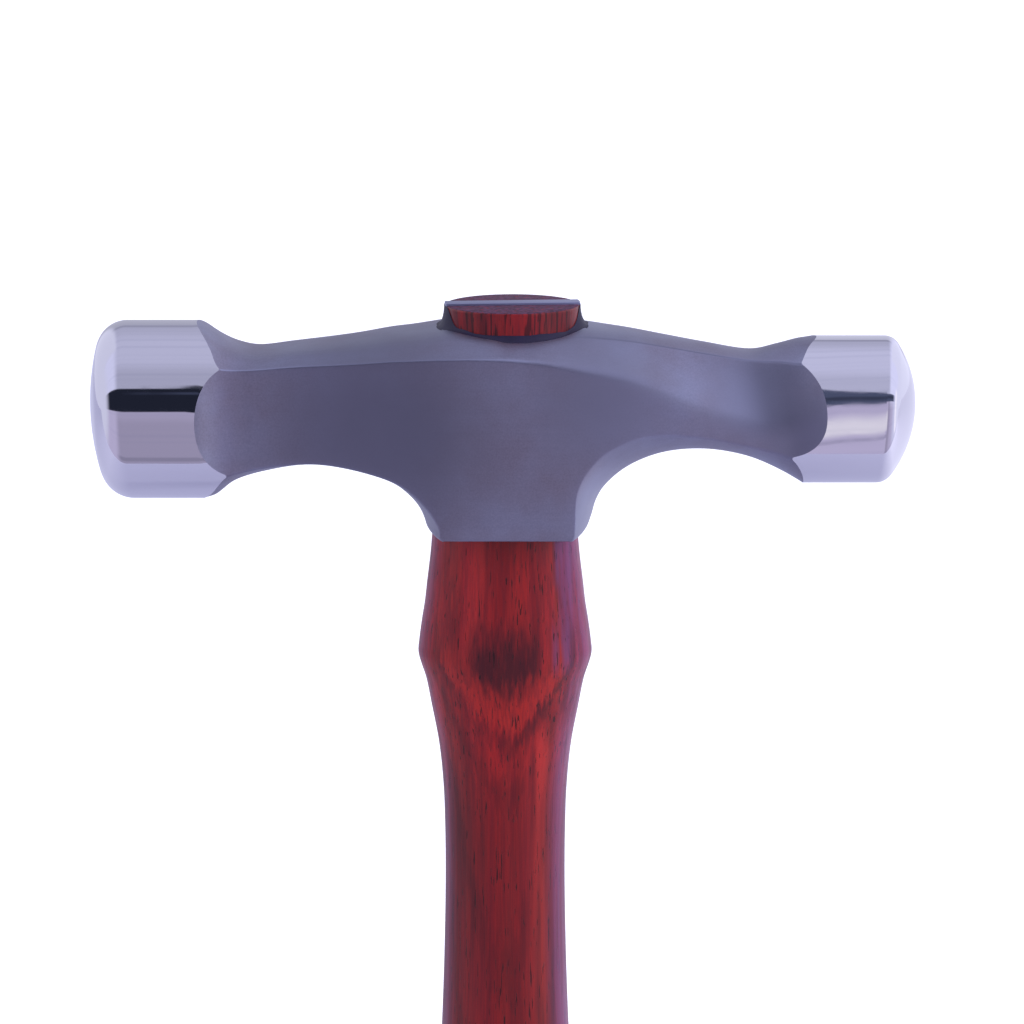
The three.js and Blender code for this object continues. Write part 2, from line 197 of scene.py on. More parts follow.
def size(name, millimetres, description):
    """A length that a user can change, kept in metres."""
    return bpy.props.FloatProperty(
        name=name, description=description, default=millimetres * MM,
        subtype="DISTANCE", unit="LENGTH", precision=5,
    )


def colour(name, hex_value, description):
    """A colour that a user can change, kept as linear red, green and blue."""
    return bpy.props.FloatVectorProperty(
        name=name, description=description, default=linear_colour(hex_value),
        subtype="COLOR", size=3, min=0, max=1,
    )


# Sizes and colours


class HammerHeadSizes(bpy.types.PropertyGroup):
    """Sizes of the steel head."""

    axis_height: size("Striking axis", 250, "Height of the striking axis above the butt")
    left_reach: size("Left reach", 58.9, "From the eye to the top of the larger dome")
    left_face_radius: size("Left face radius", 12.7, "Radius of the larger polished cylinder")
    left_dome_radius: size("Left dome radius", 35, "Radius of the larger face's dome")
    left_rim_radius: size("Left rim radius", 4.5, "Rounding of the larger face's rim")
    left_neck_half_depth: size("Left neck", 9.65, "Half depth of the neck by the larger face")
    left_flare_radius: size("Left flare", 10, "Radius of the flare into the larger face")
    right_reach: size("Right reach", 58.4, "From the eye to the top of the smaller dome")
    right_face_radius: size("Right face radius", 10.5, "Radius of the smaller polished cylinder")
    right_dome_radius: size("Right dome radius", 16.5, "Radius of the smaller face's dome")
    right_rim_radius: size("Right rim radius", 2.4, "Rounding of the smaller face's rim")
    right_neck_half_depth: size("Right neck", 9, "Half depth of the neck by the smaller face")
    right_flare_radius: size("Right flare", 12, "Radius of the flare into the smaller face")
    block_half_depth: size("Block half depth", 13.8, "Half depth of the head at the eye")
    ridge_rise: size("Ridge rise", 9.3, "Front ridge above the striking axis at the eye")
    shoulder_rise: size("Shoulder rise", 11.8, "Shoulder above the striking axis at the eye")
    crown_rise: size("Crown rise", 12.4, "Crown above the striking axis at the eye")
    boss_drop: size("Boss drop", 16.5, "Foot of the boss below the striking axis")
    boss_half_width: size("Boss half width", 12.4, "Half width of the boss")
    edge_rounding: size("Edge rounding", 0.45, "Rounding of the cheek's lower edges")
    left_ridge_rounding: size("Left ridge rounding", 0.3, "Rounding of the crisp front ridge")
    right_ridge_rounding: size("Right ridge rounding", 1.8, "Rounding of the soft front ridge")


class HammerHandleSizes(bpy.types.PropertyGroup):
    """Sizes of the handle, its tenon, the wedge and the resin."""

    ring_height: size("Ring height", 214.5, "Height of the raised ring")
    ring_half_width: size("Ring half width", 12.5, "Half width of the handle at the ring")
    ring_half_depth: size("Ring half depth", 9.4, "Half depth of the handle at the ring")
    seat_half_width: size("Seat half width", 10.35, "Half width just under the head")
    seat_half_depth: size("Seat half depth", 8.45, "Half depth just under the head")
    seat_gap: size("Seat gap", 0.3, "Clearance between the seat and the boss")
    butt_round: size("Butt rounding", 2.2, "Rounding round the flat butt")
    tenon_rise: size("Tenon rise", 15.15, "Top of the stub above the striking axis")
    tenon_top_half_width: size("Stub half width", 9.6, "Half width of the stub at its top")
    tenon_top_half_depth: size("Stub half depth", 9.7, "Half depth of the stub at its top")
    tenon_foot_half_width: size("Tenon foot half width", 9.2, "Half width at the seat")
    tenon_foot_half_depth: size("Tenon foot half depth", 8.0, "Half depth at the seat")
    tenon_offset: size("Tenon offset", 1.05, "Tenon's centre towards the smaller face")
    tenon_edge_round: size("Stub edge rounding", 0.35, "Rounding of the stub's upper rim")
    eye_gap: size("Eye gap", 0.3, "Clearance between the eye and the tenon")
    mouth_depth: size("Mouth depth", 3.5, "Depth of the eye's flared mouth")
    mouth_flare: size("Mouth flare", 1.15, "Width of the eye's mouth round the stub")
    wedge_depth: size("Wedge depth", 24, "How deep the wedge goes")
    wedge_top: size("Wedge top", 3, "Thickness of the wedge at its top")
    wedge_tip: size("Wedge tip", 1, "Thickness of the wedge at its tip")
    wedge_proud: size("Wedge proud", 0.3, "How far the wedge stands proud of the stub")
    bead_rise: size("Resin rise", 0.8, "Height of the resin above the steel round it")
    wedge_turn: bpy.props.FloatProperty(
        name="Wedge turn", description="Turn of the wedge seen from above",
        default=math.radians(5), subtype="ANGLE", unit="ROTATION",
    )


class HammerFinishes(bpy.types.PropertyGroup):
    """Colours of the hammer's finishes."""

    blasted: colour("Blasted steel", "88899f", "Bead-blasted body of the head")
    blasted_warm: colour("Warm blasted steel", "8c8799", "Warmer patches of the blasted body")
    polished: colour("Polished steel", "d0ced8", "Mirror-polished faces")
    wood_red: colour("Red wood", "80131a", "Main red of the handle")
    wood_bright: colour("Bright wood", "a82420", "Orange-red between the dark layers")
    wood_dark: colour("Dark wood", "2c0a14", "Dark growth layers and streaks")
    # Painted violet sheen and reflection on the handle's flanks
    violet_sheen: colour("Painted violet sheen", "7a4a80", "Violet cast of the flanks")
    end_grain: colour("End grain", "4e2c46", "Sawn top of the stub")
    resin: colour("Resin", "1b1630", "Cured resin round the stub")
    wedge: colour("Wedge steel", "8d90ad", "Ground steel wedge")


class HammerStage(bpy.types.PropertyGroup):
    """Camera, floor and light."""

    camera_distance: size("Camera distance", 550, "From the camera to the point it looks at")
    look_height: size("Look height", 235, "Height of the point that the camera looks at")
    look_side: size("Look side", 1.0, "Sideways place of the point that the camera looks at")
    focal_pixels: bpy.props.FloatProperty(
        name="Focal length", description="Focal length in pixels of the square image",
        default=3837, subtype="PIXEL",
    )
    camera_elevation: bpy.props.FloatProperty(
        name="Camera elevation", description="Angle of the camera above the horizon",
        default=math.radians(11.53), subtype="ANGLE", unit="ROTATION",
    )
    floor_radius: size("Floor radius", 6000, "How far the pale floor runs back and to each side")
    floor_front: size("Floor front", 125, "How far the pale floor runs in front of the hammer")
    floor_colour: colour("Floor", "f2f2f6", "Pale floor")
    floor_tint: colour("Floor in steel", "c3c3d4", "Pale floor as the steel shows it")
    backdrop_light: colour("Backdrop light", "e1e3f7", "White card behind the hammer")
    tent_light: colour("Tent light", "d8daf4", "Pale lilac light from the sides and above")
    opening_light: colour("Opening light", "b2acc6", "Dimmer light through the tent's opening")
    glow_light: colour("Glow", "fbf8ff", "White glow low on the right of the opening")
    room_dark: colour("Room", "262a38", "Dark room in front of the tent")


# Meshes


def between(start, end, share):
    """A value or a place at a share of the way from one to another."""
    return start * (1 - share) + end * share


def smooth_step(value, low, high):
    """How far a value is from low to high, eased at both ends."""
    share = min(max((value - low) / (high - low), 0), 1)
    return share * share * (3 - 2 * share)


def arc_point(before, corner, after, share):
    """A place on a bend from one point to another that rounds a corner."""
    rest = 1 - share
    return before * rest ** 2 + corner * 2 * share * rest + after * share ** 2


def curve_point(points, share):
    """A place on a smooth curve through points, kept tight where they crowd."""
    shortest = 1e-9
    last = len(points) - 1
    span = min(int(share * last), last - 1)
    along = share * last - span
    start, end = points[span], points[span + 1]
    before = points[span - 1] if span > 0 else 2 * start - end
    after = points[span + 2] if span + 2 <= last else 2 * end - start
    lead, main, trail = (
        math.sqrt(max((b - a).length, shortest))
        for a, b in ((before, start), (start, end), (end, after))
    )
    leave = (start - before) / lead - (end - before) / (lead + main) + (end - start) / main
    arrive = (end - start) / main - (after - start) / (main + trail) + (after - end) / trail
    leave, arrive = leave * main, arrive * main
    return (
        start + leave * along
        + (3 * (end - start) - 2 * leave - arrive) * along ** 2
        + (2 * (start - end) + leave + arrive) * along ** 3
    )


def link_object(name, data):
    """An object with the given data, linked to the scene."""
    made = bpy.data.objects.new(name, data)
    bpy.context.scene.collection.objects.link(made)
    return made


def mesh_object(name, points, faces, edges=(), slot=0):
    """A linked object with a smooth mesh, all in one material slot."""
    mesh = bpy.data.meshes.new(name)
    mesh.from_pydata(points, edges, faces)
    mesh.polygons.foreach_set("material_index", [slot] * len(faces))
    mesh.polygons.foreach_set("use_smooth", [True] * len(faces))
    mesh.update()
    return link_object(name, mesh)


def skin_rings(name, rings, slot=0):
    """A closed object over rings of equal count that turn anticlockwise as they rise."""
    count = len(rings[0])
    points = [point for ring in rings for point in ring]
    faces = []
    for row in range(len(rings) - 1):
        for column in range(count):
            a = row * count + column
            b = row * count + (column + 1) % count
            faces.append((a, b, b + count, a + count))
    for ring, first, backwards in ((rings[0], 0, True), (rings[-1], len(points) - count, False)):
        hub = len(points)
        points.append(sum(ring, Vector()) / count)
        for column in range(count):
            a, b = first + column, first + (column + 1) % count
            faces.append((hub, b, a) if backwards else (hub, a, b))
    return mesh_object(name, points, faces, slot=slot)


def oval_rings(rows, steps):
    """Upright oval rings from rows of half width, half depth, height and sideways place."""
    return [
        [
            Vector((
                place + half_width * math.cos(math.tau * step / steps),
                half_depth * math.sin(math.tau * step / steps),
                height,
            ))
            for step in range(steps)
        ]
        for half_width, half_depth, height, place in rows
    ]


def cut(target, tool, operation):
    """Adds a boolean to the target. The tool is removed when the target is settled."""
    modifier = target.modifiers.new(tool.name, "BOOLEAN")
    modifier.operation = operation
    modifier.solver = "MANIFOLD"
    modifier.object = tool


def settle(target, tools=()):
    """Turns an object and its modifiers into a plain mesh and removes its tools."""
    graph = bpy.context.evaluated_depsgraph_get()
    settled = bpy.data.meshes.new_from_object(target.evaluated_get(graph))
    target.modifiers.clear()
    spent = target.data
    target.data = settled
    settled.name = target.name
    bpy.data.meshes.remove(spent)
    for tool in tools:
        bpy.data.objects.remove(tool)


def surface_tree(mesh):
    """A search tree over a mesh's faces."""
    return BVHTree.FromPolygons(
        [vertex.co for vertex in mesh.vertices], [face.vertices[:] for face in mesh.polygons],
    )


def smooth_source(made):
    """A mesh's surface with its smooth normals, to be asked for a normal at a place."""
    mesh = made.data
    known = [(vertex.co.copy(), vertex.normal.copy()) for vertex in mesh.vertices]
    return SimpleNamespace(
        tree=surface_tree(mesh),
        corners=[[known[index] for index in face.vertices] for face in mesh.polygons],
    )


def normal_at(source, place):
    """The source's normal nearest to a place, weighted by how near its corners are."""
    nearest = 1e-14
    found, _, index, _ = source.tree.find_nearest(place)
    total = Vector()
    for corner, normal in source.corners[index]:
        total += normal / max((corner - found).length_squared, nearest)
    return total.normalized()


def carry_normals(made, sources):
    """Gives each face of a cut mesh the smooth normals of the surface that it came from."""
    mesh = made.data
    known = {}
    normals = [None] * len(mesh.loops)
    for face in mesh.polygons:
        source, sign = sources[face.material_index]
        for loop in face.loop_indices:
            vertex = mesh.loops[loop].vertex_index
            key = (face.material_index, vertex)
            if key not in known:
                known[key] = normal_at(source, mesh.vertices[vertex].co) * sign
            normals[loop] = known[key]
    mesh.polygons.foreach_set("use_smooth", [True] * len(mesh.polygons))
    mesh.normals_split_custom_set(normals)


# Head


def arms_of(head):
    """The two arms of the head, each with its sizes and its lines."""
    left = SimpleNamespace(
        sign=-1, reach=head.left_reach, face_radius=head.left_face_radius,
        dome_radius=head.left_dome_radius, rim_radius=head.left_rim_radius,
        neck_half_depth=head.left_neck_half_depth, flare_radius=head.left_flare_radius,
        lean=math.radians(2), taper_end=0.565, flare_start=0.613,
        top=LEFT_TOP, boss=LEFT_BOSS, under=LEFT_UNDER,
    )
    right = SimpleNamespace(
        sign=1, reach=head.right_reach, face_radius=head.right_face_radius,
        dome_radius=head.right_dome_radius, rim_radius=head.right_rim_radius,
        neck_half_depth=head.right_neck_half_depth, flare_radius=head.right_flare_radius,
        lean=math.radians(3), taper_end=0.64, flare_start=0.673,
        top=RIGHT_TOP, boss=RIGHT_BOSS, under=RIGHT_UNDER,
    )
    return left, right


def cheek_half_depth(head, arms, x):
    """Half depth of the cheeks at a place: a taper from the eye, then a flare."""
    taper_start, flare_sweep = 0.1, 0.9
    arm = arms[0] if x < 0 else arms[1]
    run = smooth_step(abs(x) / arm.reach, taper_start, arm.taper_end)
    sweep = min(max(abs(x) - arm.flare_start * arm.reach, 0), arm.flare_radius * flare_sweep)
    flare = arm.flare_radius - math.sqrt(arm.flare_radius ** 2 - sweep ** 2)
    return between(head.block_half_depth, arm.neck_half_depth, run) + flare


def arm_stations(head, arms, arm):
    """Stations outwards along an arm: middle, edge, ridge, shoulder and crown points."""
    lower = [
        (across * width, up * height, middle_across * width, middle_up * height)
        for rows, width, height in (
            (arm.boss, head.boss_half_width, head.boss_drop),
            (arm.under, arm.reach, arm.face_radius),
        )
        for across, up, middle_across, middle_up in rows
    ]
    outer = [
        (
            place * arm.reach, ridge * arm.face_radius, shoulder * arm.face_radius,
            width, crown * arm.face_radius,
        )
        for place, ridge, shoulder, width, crown in arm.top
    ]
    centre = (0, head.ridge_rise, head.shoulder_rise, outer[0][3], head.crown_rise)
    inner = [
        tuple(start + (end - start) * share for start, end in zip(centre, outer[0]))
        for share in (0, 1 / 3, 2 / 3)
    ]
    stations = []
    for low, (x, ridge, shoulder, width, crown) in zip(lower, inner + outer, strict=True):
        place = arm.sign * x
        stations.append((
            Vector((arm.sign * low[2], 0, low[3])),
            Vector((arm.sign * low[0], 0, low[1])),
            Vector((place, 0, ridge)),
            Vector((place, -width * cheek_half_depth(head, arms, place), shoulder)),
            Vector((place, 0, crown)),
        ))
    return stations


def half_ring(head, arms, middle, edge, ridge, shoulder, crown):
    """Half of the ring at one place along the head, from under it over the front cheek."""
    under_steps, cheek_steps, over_steps, corner_steps = 10, 14, 9, 5
    fullness = 0.5
    smooth_ease, creased_ease = 0.06, 0.02

    def under(share):
        point = middle.lerp(edge, share ** 2)
        return Vector((point.x, -share * cheek_half_depth(head, arms, edge.x), point.z))

    def cheek(share):
        point = edge.lerp(ridge, share)
        return Vector((point.x, -cheek_half_depth(head, arms, point.x), point.z))

    def over(share):
        """A place from the ridge over the crown, where the shoulder may be creased."""
        if share < 0.5:
            flat = top_line[0].lerp(shoulder, 2 * share)
        else:
            full = Vector((shoulder.x, shoulder.y * fullness, crown.z))
            flat = arc_point(shoulder, full, crown, 2 * share - 1)
        return curve_point(top_line, share / 2).lerp(flat, crease)

    def run(line, start, end, steps):
        """Points along a line after its start and before its end."""
        return [line(between(start, end, step / steps)) for step in range(1, steps)]

    def bend(*corner):
        """Points round a corner, from a point before it to a point after it."""
        return [arc_point(*corner, step / corner_steps) for step in range(corner_steps + 1)]

    top_line = [cheek(1), shoulder, crown]
    top_line += [Vector((point.x, -point.y, point.z)) for point in (shoulder, cheek(1))]
    crease = smooth_step(shoulder.x / head.right_reach, 0.08, 0.4)
    softness = smooth_step(ridge.x, -8 * MM, 28 * MM)
    ridge_round = between(head.left_ridge_rounding, head.right_ridge_rounding, softness)
    rise = (ridge - edge).length
    foot, brow = head.edge_rounding / rise, ridge_round / rise
    turn = ridge_round / 2 / (shoulder - top_line[0]).length
    inset = head.edge_rounding / cheek_half_depth(head, arms, edge.x)
    ease = between(smooth_ease, creased_ease, crease)
    points = [under(0)] + run(under, 0, 1 - inset, under_steps)
    points += bend(under(1 - inset), cheek(0), cheek(foot))
    points += run(cheek, foot, 1 - brow, cheek_steps)
    ridge_first = len(points)
    points += bend(cheek(1 - brow), cheek(1), over(turn))
    points += run(over, turn, 0.5 - ease, over_steps)
    crease_first = len(points)
    points += bend(over(0.5 - ease), over(0.5), over(0.5 + ease))
    points += run(over, 0.5 + ease, 1, over_steps) + [over(1)]
    ridge_points, crease_points = (
        range(first + 2, first + corner_steps - 1) for first in (ridge_first, crease_first)
    )
    return points, ridge_points, crease_points


def forged_body(head, arms):
    """The body of the head before its faces are turned: rings from end to end."""
    span_steps = 8
    left, right = arms
    stations = arm_stations(head, arms, left)[:0:-1] + arm_stations(head, arms, right)
    rails = list(zip(*stations))
    spans = (len(stations) - 1) * span_steps
    rings, ridge_highlight, crease_shade = [], [], []
    for span in range(spans + 1):
        half, ridge_points, crease_points = half_ring(
            head, arms, *(curve_point(rail, span / spans) for rail in rails),
        )
        back = [Vector((point.x, -point.y, point.z)) for point in half[-2:0:-1]]
        rings.append((half + back)[::-1])
        # A painted highlight runs along the crisp ridge, left of the eye, and painted shade along
        # the crease, right of it
        highlight_strength = smooth_step(half[ridge_points[0]].x, 9 * MM, 0)
        shade_strength = smooth_step(half[crease_points[0]].x, 8 * MM, 14 * MM)
        for marks, marked, strength in ((ridge_highlight, ridge_points, highlight_strength), (crease_shade, crease_points, shade_strength)):
            row = [0.0] * len(rings[-1])
            for index in marked:
                row[index - 1] = row[len(row) - 1 - index] = strength
            marks += row
    made = skin_rings("forged_body", rings)
    for name, marks in (("ridge_highlight", ridge_highlight), ("crease_shade", crease_shade)):
        layer = made.data.attributes.new(name, "FLOAT", "POINT")
        layer.data.foreach_set("value", marks + [0.0] * (len(layer.data) - len(marks)))
    return made


def face_outline(arm):
    """Outline of one face from its apex to the cylinder: radius and place along the axis."""
    dome_steps, rim_steps, wall_steps = 28, 16, 10
    rim_centre = arm.face_radius - arm.rim_radius
    dome_centre = arm.reach - arm.dome_radius
    spread = math.asin(rim_centre / (arm.dome_radius - arm.rim_radius))
    rim_place = dome_centre + (arm.dome_radius - arm.rim_radius) * math.cos(spread)
    outline = []
    for radius, centre, place, start, end, steps in (
        (arm.dome_radius, 0, dome_centre, 0, spread, dome_steps),
        (arm.rim_radius, rim_centre, rim_place, spread, math.pi / 2, rim_steps),
    ):
        for step in range(steps):
            angle = between(start, end, step / steps)
            outline.append((centre + radius * math.sin(angle), place + radius * math.cos(angle)))
    # A row close behind the rim keeps the cylinder's normals straight up to it
    outline += [
        (arm.face_radius, between(rim_place, NECK_SHARE * arm.reach, step / wall_steps))
        for step in (0, 0.1, *range(1, wall_steps + 1))
    ]
    return outline[1:]


def turned_ring(arm, radius, place, steps):
    """A ring about the striking axis, leaned with the face where it lies on one."""
    ring = []
    for step in range(steps):
        angle = math.tau * step / steps
        x, z = arm.sign * place, radius * math.sin(angle)
        if place > arm.reach - arm.face_radius:
            x += arm.sign * math.tan(arm.lean) * z
        ring.append(Vector((x, radius * math.cos(angle), z)))
    return ring


def turned_envelope(head, arms):
    """Both faces and their cylinders, turned about the striking axis, wide in between."""
    around = 192
    wide = 2 * (head.block_half_depth + head.boss_drop)
    left, right = arms
    rows = [(left, *row) for row in face_outline(left)]
    rows += [(left, wide, NECK_SHARE * left.reach), (right, wide, NECK_SHARE * right.reach)]
    rows += [(right, *row) for row in face_outline(right)[::-1]]
    made = skin_rings("turned_envelope", [turned_ring(*row, around) for row in rows], slot=TURNED)
    for hub, arm in zip(made.data.vertices[-2:], arms):
        hub.co.x = arm.sign * arm.reach
    made.data.update()
    return made


def tenon_row(head, handle, height, grow):
    """A row of the tenon at a height above the striking axis, grown by a clearance."""
    share = (height + head.boss_drop) / (handle.tenon_rise + head.boss_drop)
    half_width = between(handle.tenon_foot_half_width, handle.tenon_top_half_width, share)
    half_depth = between(handle.tenon_foot_half_depth, handle.tenon_top_half_depth, share)
    return half_width + grow, half_depth + grow, height, handle.tenon_offset


def eye_cutter(head, handle):
    """The eye, a little larger than the tenon, with a flared mouth at the crown."""
    mouth_foot = head.crown_rise - handle.mouth_depth
    around = 96
    rows = [tenon_row(head, handle, *row) for row in (
        (-head.boss_drop - BEYOND, handle.eye_gap), (mouth_foot, handle.eye_gap),
        (head.crown_rise, handle.mouth_flare), (head.crown_rise + BEYOND, handle.mouth_flare),
    )]
    return skin_rings("eye_cutter", oval_rings(rows, around), slot=EYE_WALL)


def make_head(head, handle):
    """The finished head, its striking axis at height 0."""
    arms = arms_of(head)
    body = forged_body(head, arms)
    envelope = turned_envelope(head, arms)
    eye = eye_cutter(head, handle)
    sources = [(smooth_source(body), 1), (smooth_source(envelope), 1), (smooth_source(eye), -1)]
    # A slot for each source, so that every face keeps the number of its own
    for made in (body, envelope, eye):
        for _ in sources:
            made.data.materials.append(None)
    cut(body, envelope, "INTERSECT")
    cut(body, eye, "DIFFERENCE")
    settle(body, (envelope, eye))
    carry_normals(body, sources)
    return body


# Nodes


def fill(node, inputs):
    """Fills or links a node's inputs, by name or in order, from values, sockets and nodes."""
    for key, value in (inputs if isinstance(inputs, dict) else dict(enumerate(inputs))).items():
        if isinstance(value, bpy.types.Node):
            value = next(socket for socket in value.outputs if socket.enabled)
        if isinstance(value, bpy.types.NodeSocket):
            node.id_data.links.new(value, node.inputs[key])
        else:
            node.inputs[key].default_value = value
    return node


def add_node(tree, kind, inputs=(), **settings):
    """Adds a node with its settings and fills its inputs."""
    node = tree.nodes.new(kind)
    for name, value in settings.items():
        setattr(node, name, value)
    return fill(node, inputs)


# Handle


def handle_rows(head, handle):
    """Rows of the handle from butt to stub: height, half width, half depth, sideways place."""
    butt_steps, line_steps, rim_steps = 8, 12, 4
    foot = -head.boss_drop - handle.seat_gap
    ring = Vector((handle.ring_height, handle.ring_half_width, handle.ring_half_depth))
    seat = Vector((head.axis_height + foot, handle.seat_half_width, handle.seat_half_depth))
    line = [ring * Vector(row) for row in GRIP]
    for height, width, depth in THROAT:
        shares = Vector((1 - height, width, depth))
        line.append(seat + (ring - seat) * shares)
    butt, rim = handle.butt_round, handle.tenon_edge_round
    rows = []
    for step in range(butt_steps):
        angle = math.pi / 2 * step / butt_steps
        inset = butt * (1 - math.sin(angle))
        rows.append((butt * (1 - math.cos(angle)), line[0].y - inset, line[0].z - inset, 0))
    spans = (len(line) - 1) * line_steps
    rows += [(*curve_point(line, span / spans), 0) for span in range(spans + 1)]
    for height in (foot, handle.tenon_rise - rim):
        half_width, half_depth, _, place = tenon_row(head, handle, height, 0)
        rows.append((height + head.axis_height, half_width, half_depth, place))
    half_width, half_depth, top, place = tenon_row(head, handle, handle.tenon_rise, 0)
    for step in range(1, rim_steps + 1):
        angle = math.pi / 2 * step / rim_steps
        inset, drop = rim * (1 - math.cos(angle)), rim * (1 - math.sin(angle))
        rows.append((head.axis_height + top - drop, half_width - inset, half_depth - inset, place))
    return rows


def oval_sweep_tree():
    """Geometry nodes that sweep ovals up a line that carries their sizes."""
    tree = bpy.data.node_groups.new("Oval sweep", "GeometryNodeTree")
    sockets = {}
    for name, in_out, kind in (
        ("Line", "INPUT", "Geometry"), ("Points around", "INPUT", "Int"),
        ("Ring half width", "INPUT", "Float"), ("Ring half depth", "INPUT", "Float"),
        ("Finish", "INPUT", "Material"), ("Handle", "OUTPUT", "Geometry"),
    ):
        sockets[name] = tree.interface.new_socket(
            name, in_out=in_out, socket_type="NodeSocket" + kind,
        )
    sockets["Points around"].default_value, sockets["Points around"].min_value = 128, 8
    for name in ("Ring half width", "Ring half depth"):
        sockets[name].subtype = "DISTANCE"
    given = add_node(tree, "NodeGroupInput").outputs
    circle = add_node(tree, "GeometryNodeCurvePrimitiveCircle", {
        "Resolution": given["Points around"], "Radius": 1.0,
    })
    line = add_node(tree, "GeometryNodeMeshToCurve", {"Mesh": given["Line"]})
    swept = add_node(tree, "GeometryNodeCurveToMesh", {
        "Curve": line, "Profile Curve": circle, "Fill Caps": True,
    })
    place = add_node(tree, "ShaderNodeSeparateXYZ", (
        add_node(tree, "GeometryNodeInputPosition"),
    )).outputs
    carried = {
        name: add_node(tree, "GeometryNodeInputNamedAttribute", {"Name": name})
        for name in ("width_share", "depth_share", "aside")
    }
    sized = {}
    for name, ring_size, axis in (
        ("width_share", "Ring half width", "X"), ("depth_share", "Ring half depth", "Y"),
    ):
        full = add_node(
            tree, "ShaderNodeMath", (carried[name], given[ring_size]), operation="MULTIPLY",
        )
        sized[axis] = add_node(tree, "ShaderNodeMath", (full, place[axis]), operation="MULTIPLY")
    together = add_node(tree, "ShaderNodeCombineXYZ", {
        "X": add_node(tree, "ShaderNodeMath", (sized["X"], carried["aside"]), operation="ADD"),
        "Y": sized["Y"], "Z": place["Z"],
    })
    made = add_node(tree, "GeometryNodeSetPosition", {"Geometry": swept, "Position": together})
    smooth = add_node(tree, "GeometryNodeSetShadeSmooth", {"Geometry": made})
    real = add_node(tree, "GeometryNodeRealizeInstances", {"Geometry": smooth})
    finished = add_node(tree, "GeometryNodeSetMaterial", {
        "Geometry": real, "Material": given["Finish"],
    })
    add_node(tree, "NodeGroupOutput", {"Handle": finished})
    return tree, sockets


def make_handle(head, handle, finish):
    """The handle with its tenon, swept by geometry nodes and sawn for the wedge."""
    around, saw_gap, sharp_angle = 128, 0.02 * MM, math.radians(34)
    rows = handle_rows(head, handle)
    made = mesh_object(
        "handle_line", [(0, 0, height) for height, *_ in rows], [],
        edges=[(index, index + 1) for index in range(len(rows) - 1)],
    )
    made.name = "handle"
    # The line's points carry the oval's size at their height
    for name, column, unit in (
        ("width_share", 1, handle.ring_half_width), ("depth_share", 2, handle.ring_half_depth),
        ("aside", 3, 1),
    ):
        layer = made.data.attributes.new(name, "FLOAT", "POINT")
        layer.data.foreach_set("value", [row[column] / unit for row in rows])
    tree, sockets = oval_sweep_tree()
    sweep = made.modifiers.new("Oval sweep", "NODES")
    sweep.node_group = tree
    for name, value in (
        ("Points around", around), ("Ring half width", handle.ring_half_width),
        ("Ring half depth", handle.ring_half_depth), ("Finish", finish),
    ):
        sweep[sockets[name].identifier] = value
    settle(made)
    kerf = wedge_plate(head, handle, saw_gap)
    cut(made, kerf, "DIFFERENCE")
    settle(made, (kerf,))
    made.data.set_sharp_from_angle(angle=sharp_angle)
    return made


# Wedge and resin


def wedge_plate(head, handle, gap):
    """The wedge's tapered plate, longer than the tenon is wide, grown by a clearance."""
    reach = handle.tenon_top_half_width + BEYOND
    top = handle.tenon_rise + handle.wedge_proud
    slope = (handle.wedge_top - handle.wedge_tip) / 2 / handle.wedge_depth
    rise = BEYOND if gap > 0 else 0
    turn = Matrix.Rotation(handle.wedge_turn, 3, "Z")
    centre = Vector((handle.tenon_offset, 0, head.axis_height))
    rings = [
        [
            turn @ Vector((x * reach, y * half, height)) + centre
            for x, y in ((-1, -1), (1, -1), (1, 1), (-1, 1))
        ]
        for half, height in (
            (handle.wedge_tip / 2 + gap - slope * gap, top - handle.wedge_depth - gap),
            (handle.wedge_top / 2 + gap + slope * rise, top + rise),
        )
    ]
    return skin_rings("wedge_plate", rings)


def make_wedge(head, handle):
    """The steel wedge, ground nearly flush with the stub."""
    around, edge_ease, edge_angle = 128, 0.12 * MM, math.radians(50)
    made = wedge_plate(head, handle, 0)
    made.name = "wedge"
    heights = (-head.boss_drop, handle.tenon_rise + BEYOND)
    rows = [tenon_row(head, handle, height, 0) for height in heights]
    trim = skin_rings("wedge_trim", oval_rings(rows, around))
    trim.data.transform(Matrix.Translation((0, 0, head.axis_height)))
    cut(made, trim, "INTERSECT")
    bevel = made.modifiers.new("Eased edges", "BEVEL")
    bevel.width, bevel.segments, bevel.angle_limit = edge_ease, 2, edge_angle
    settle(made, (trim,))
    made.data.set_sharp_from_angle(angle=edge_angle)
    return made


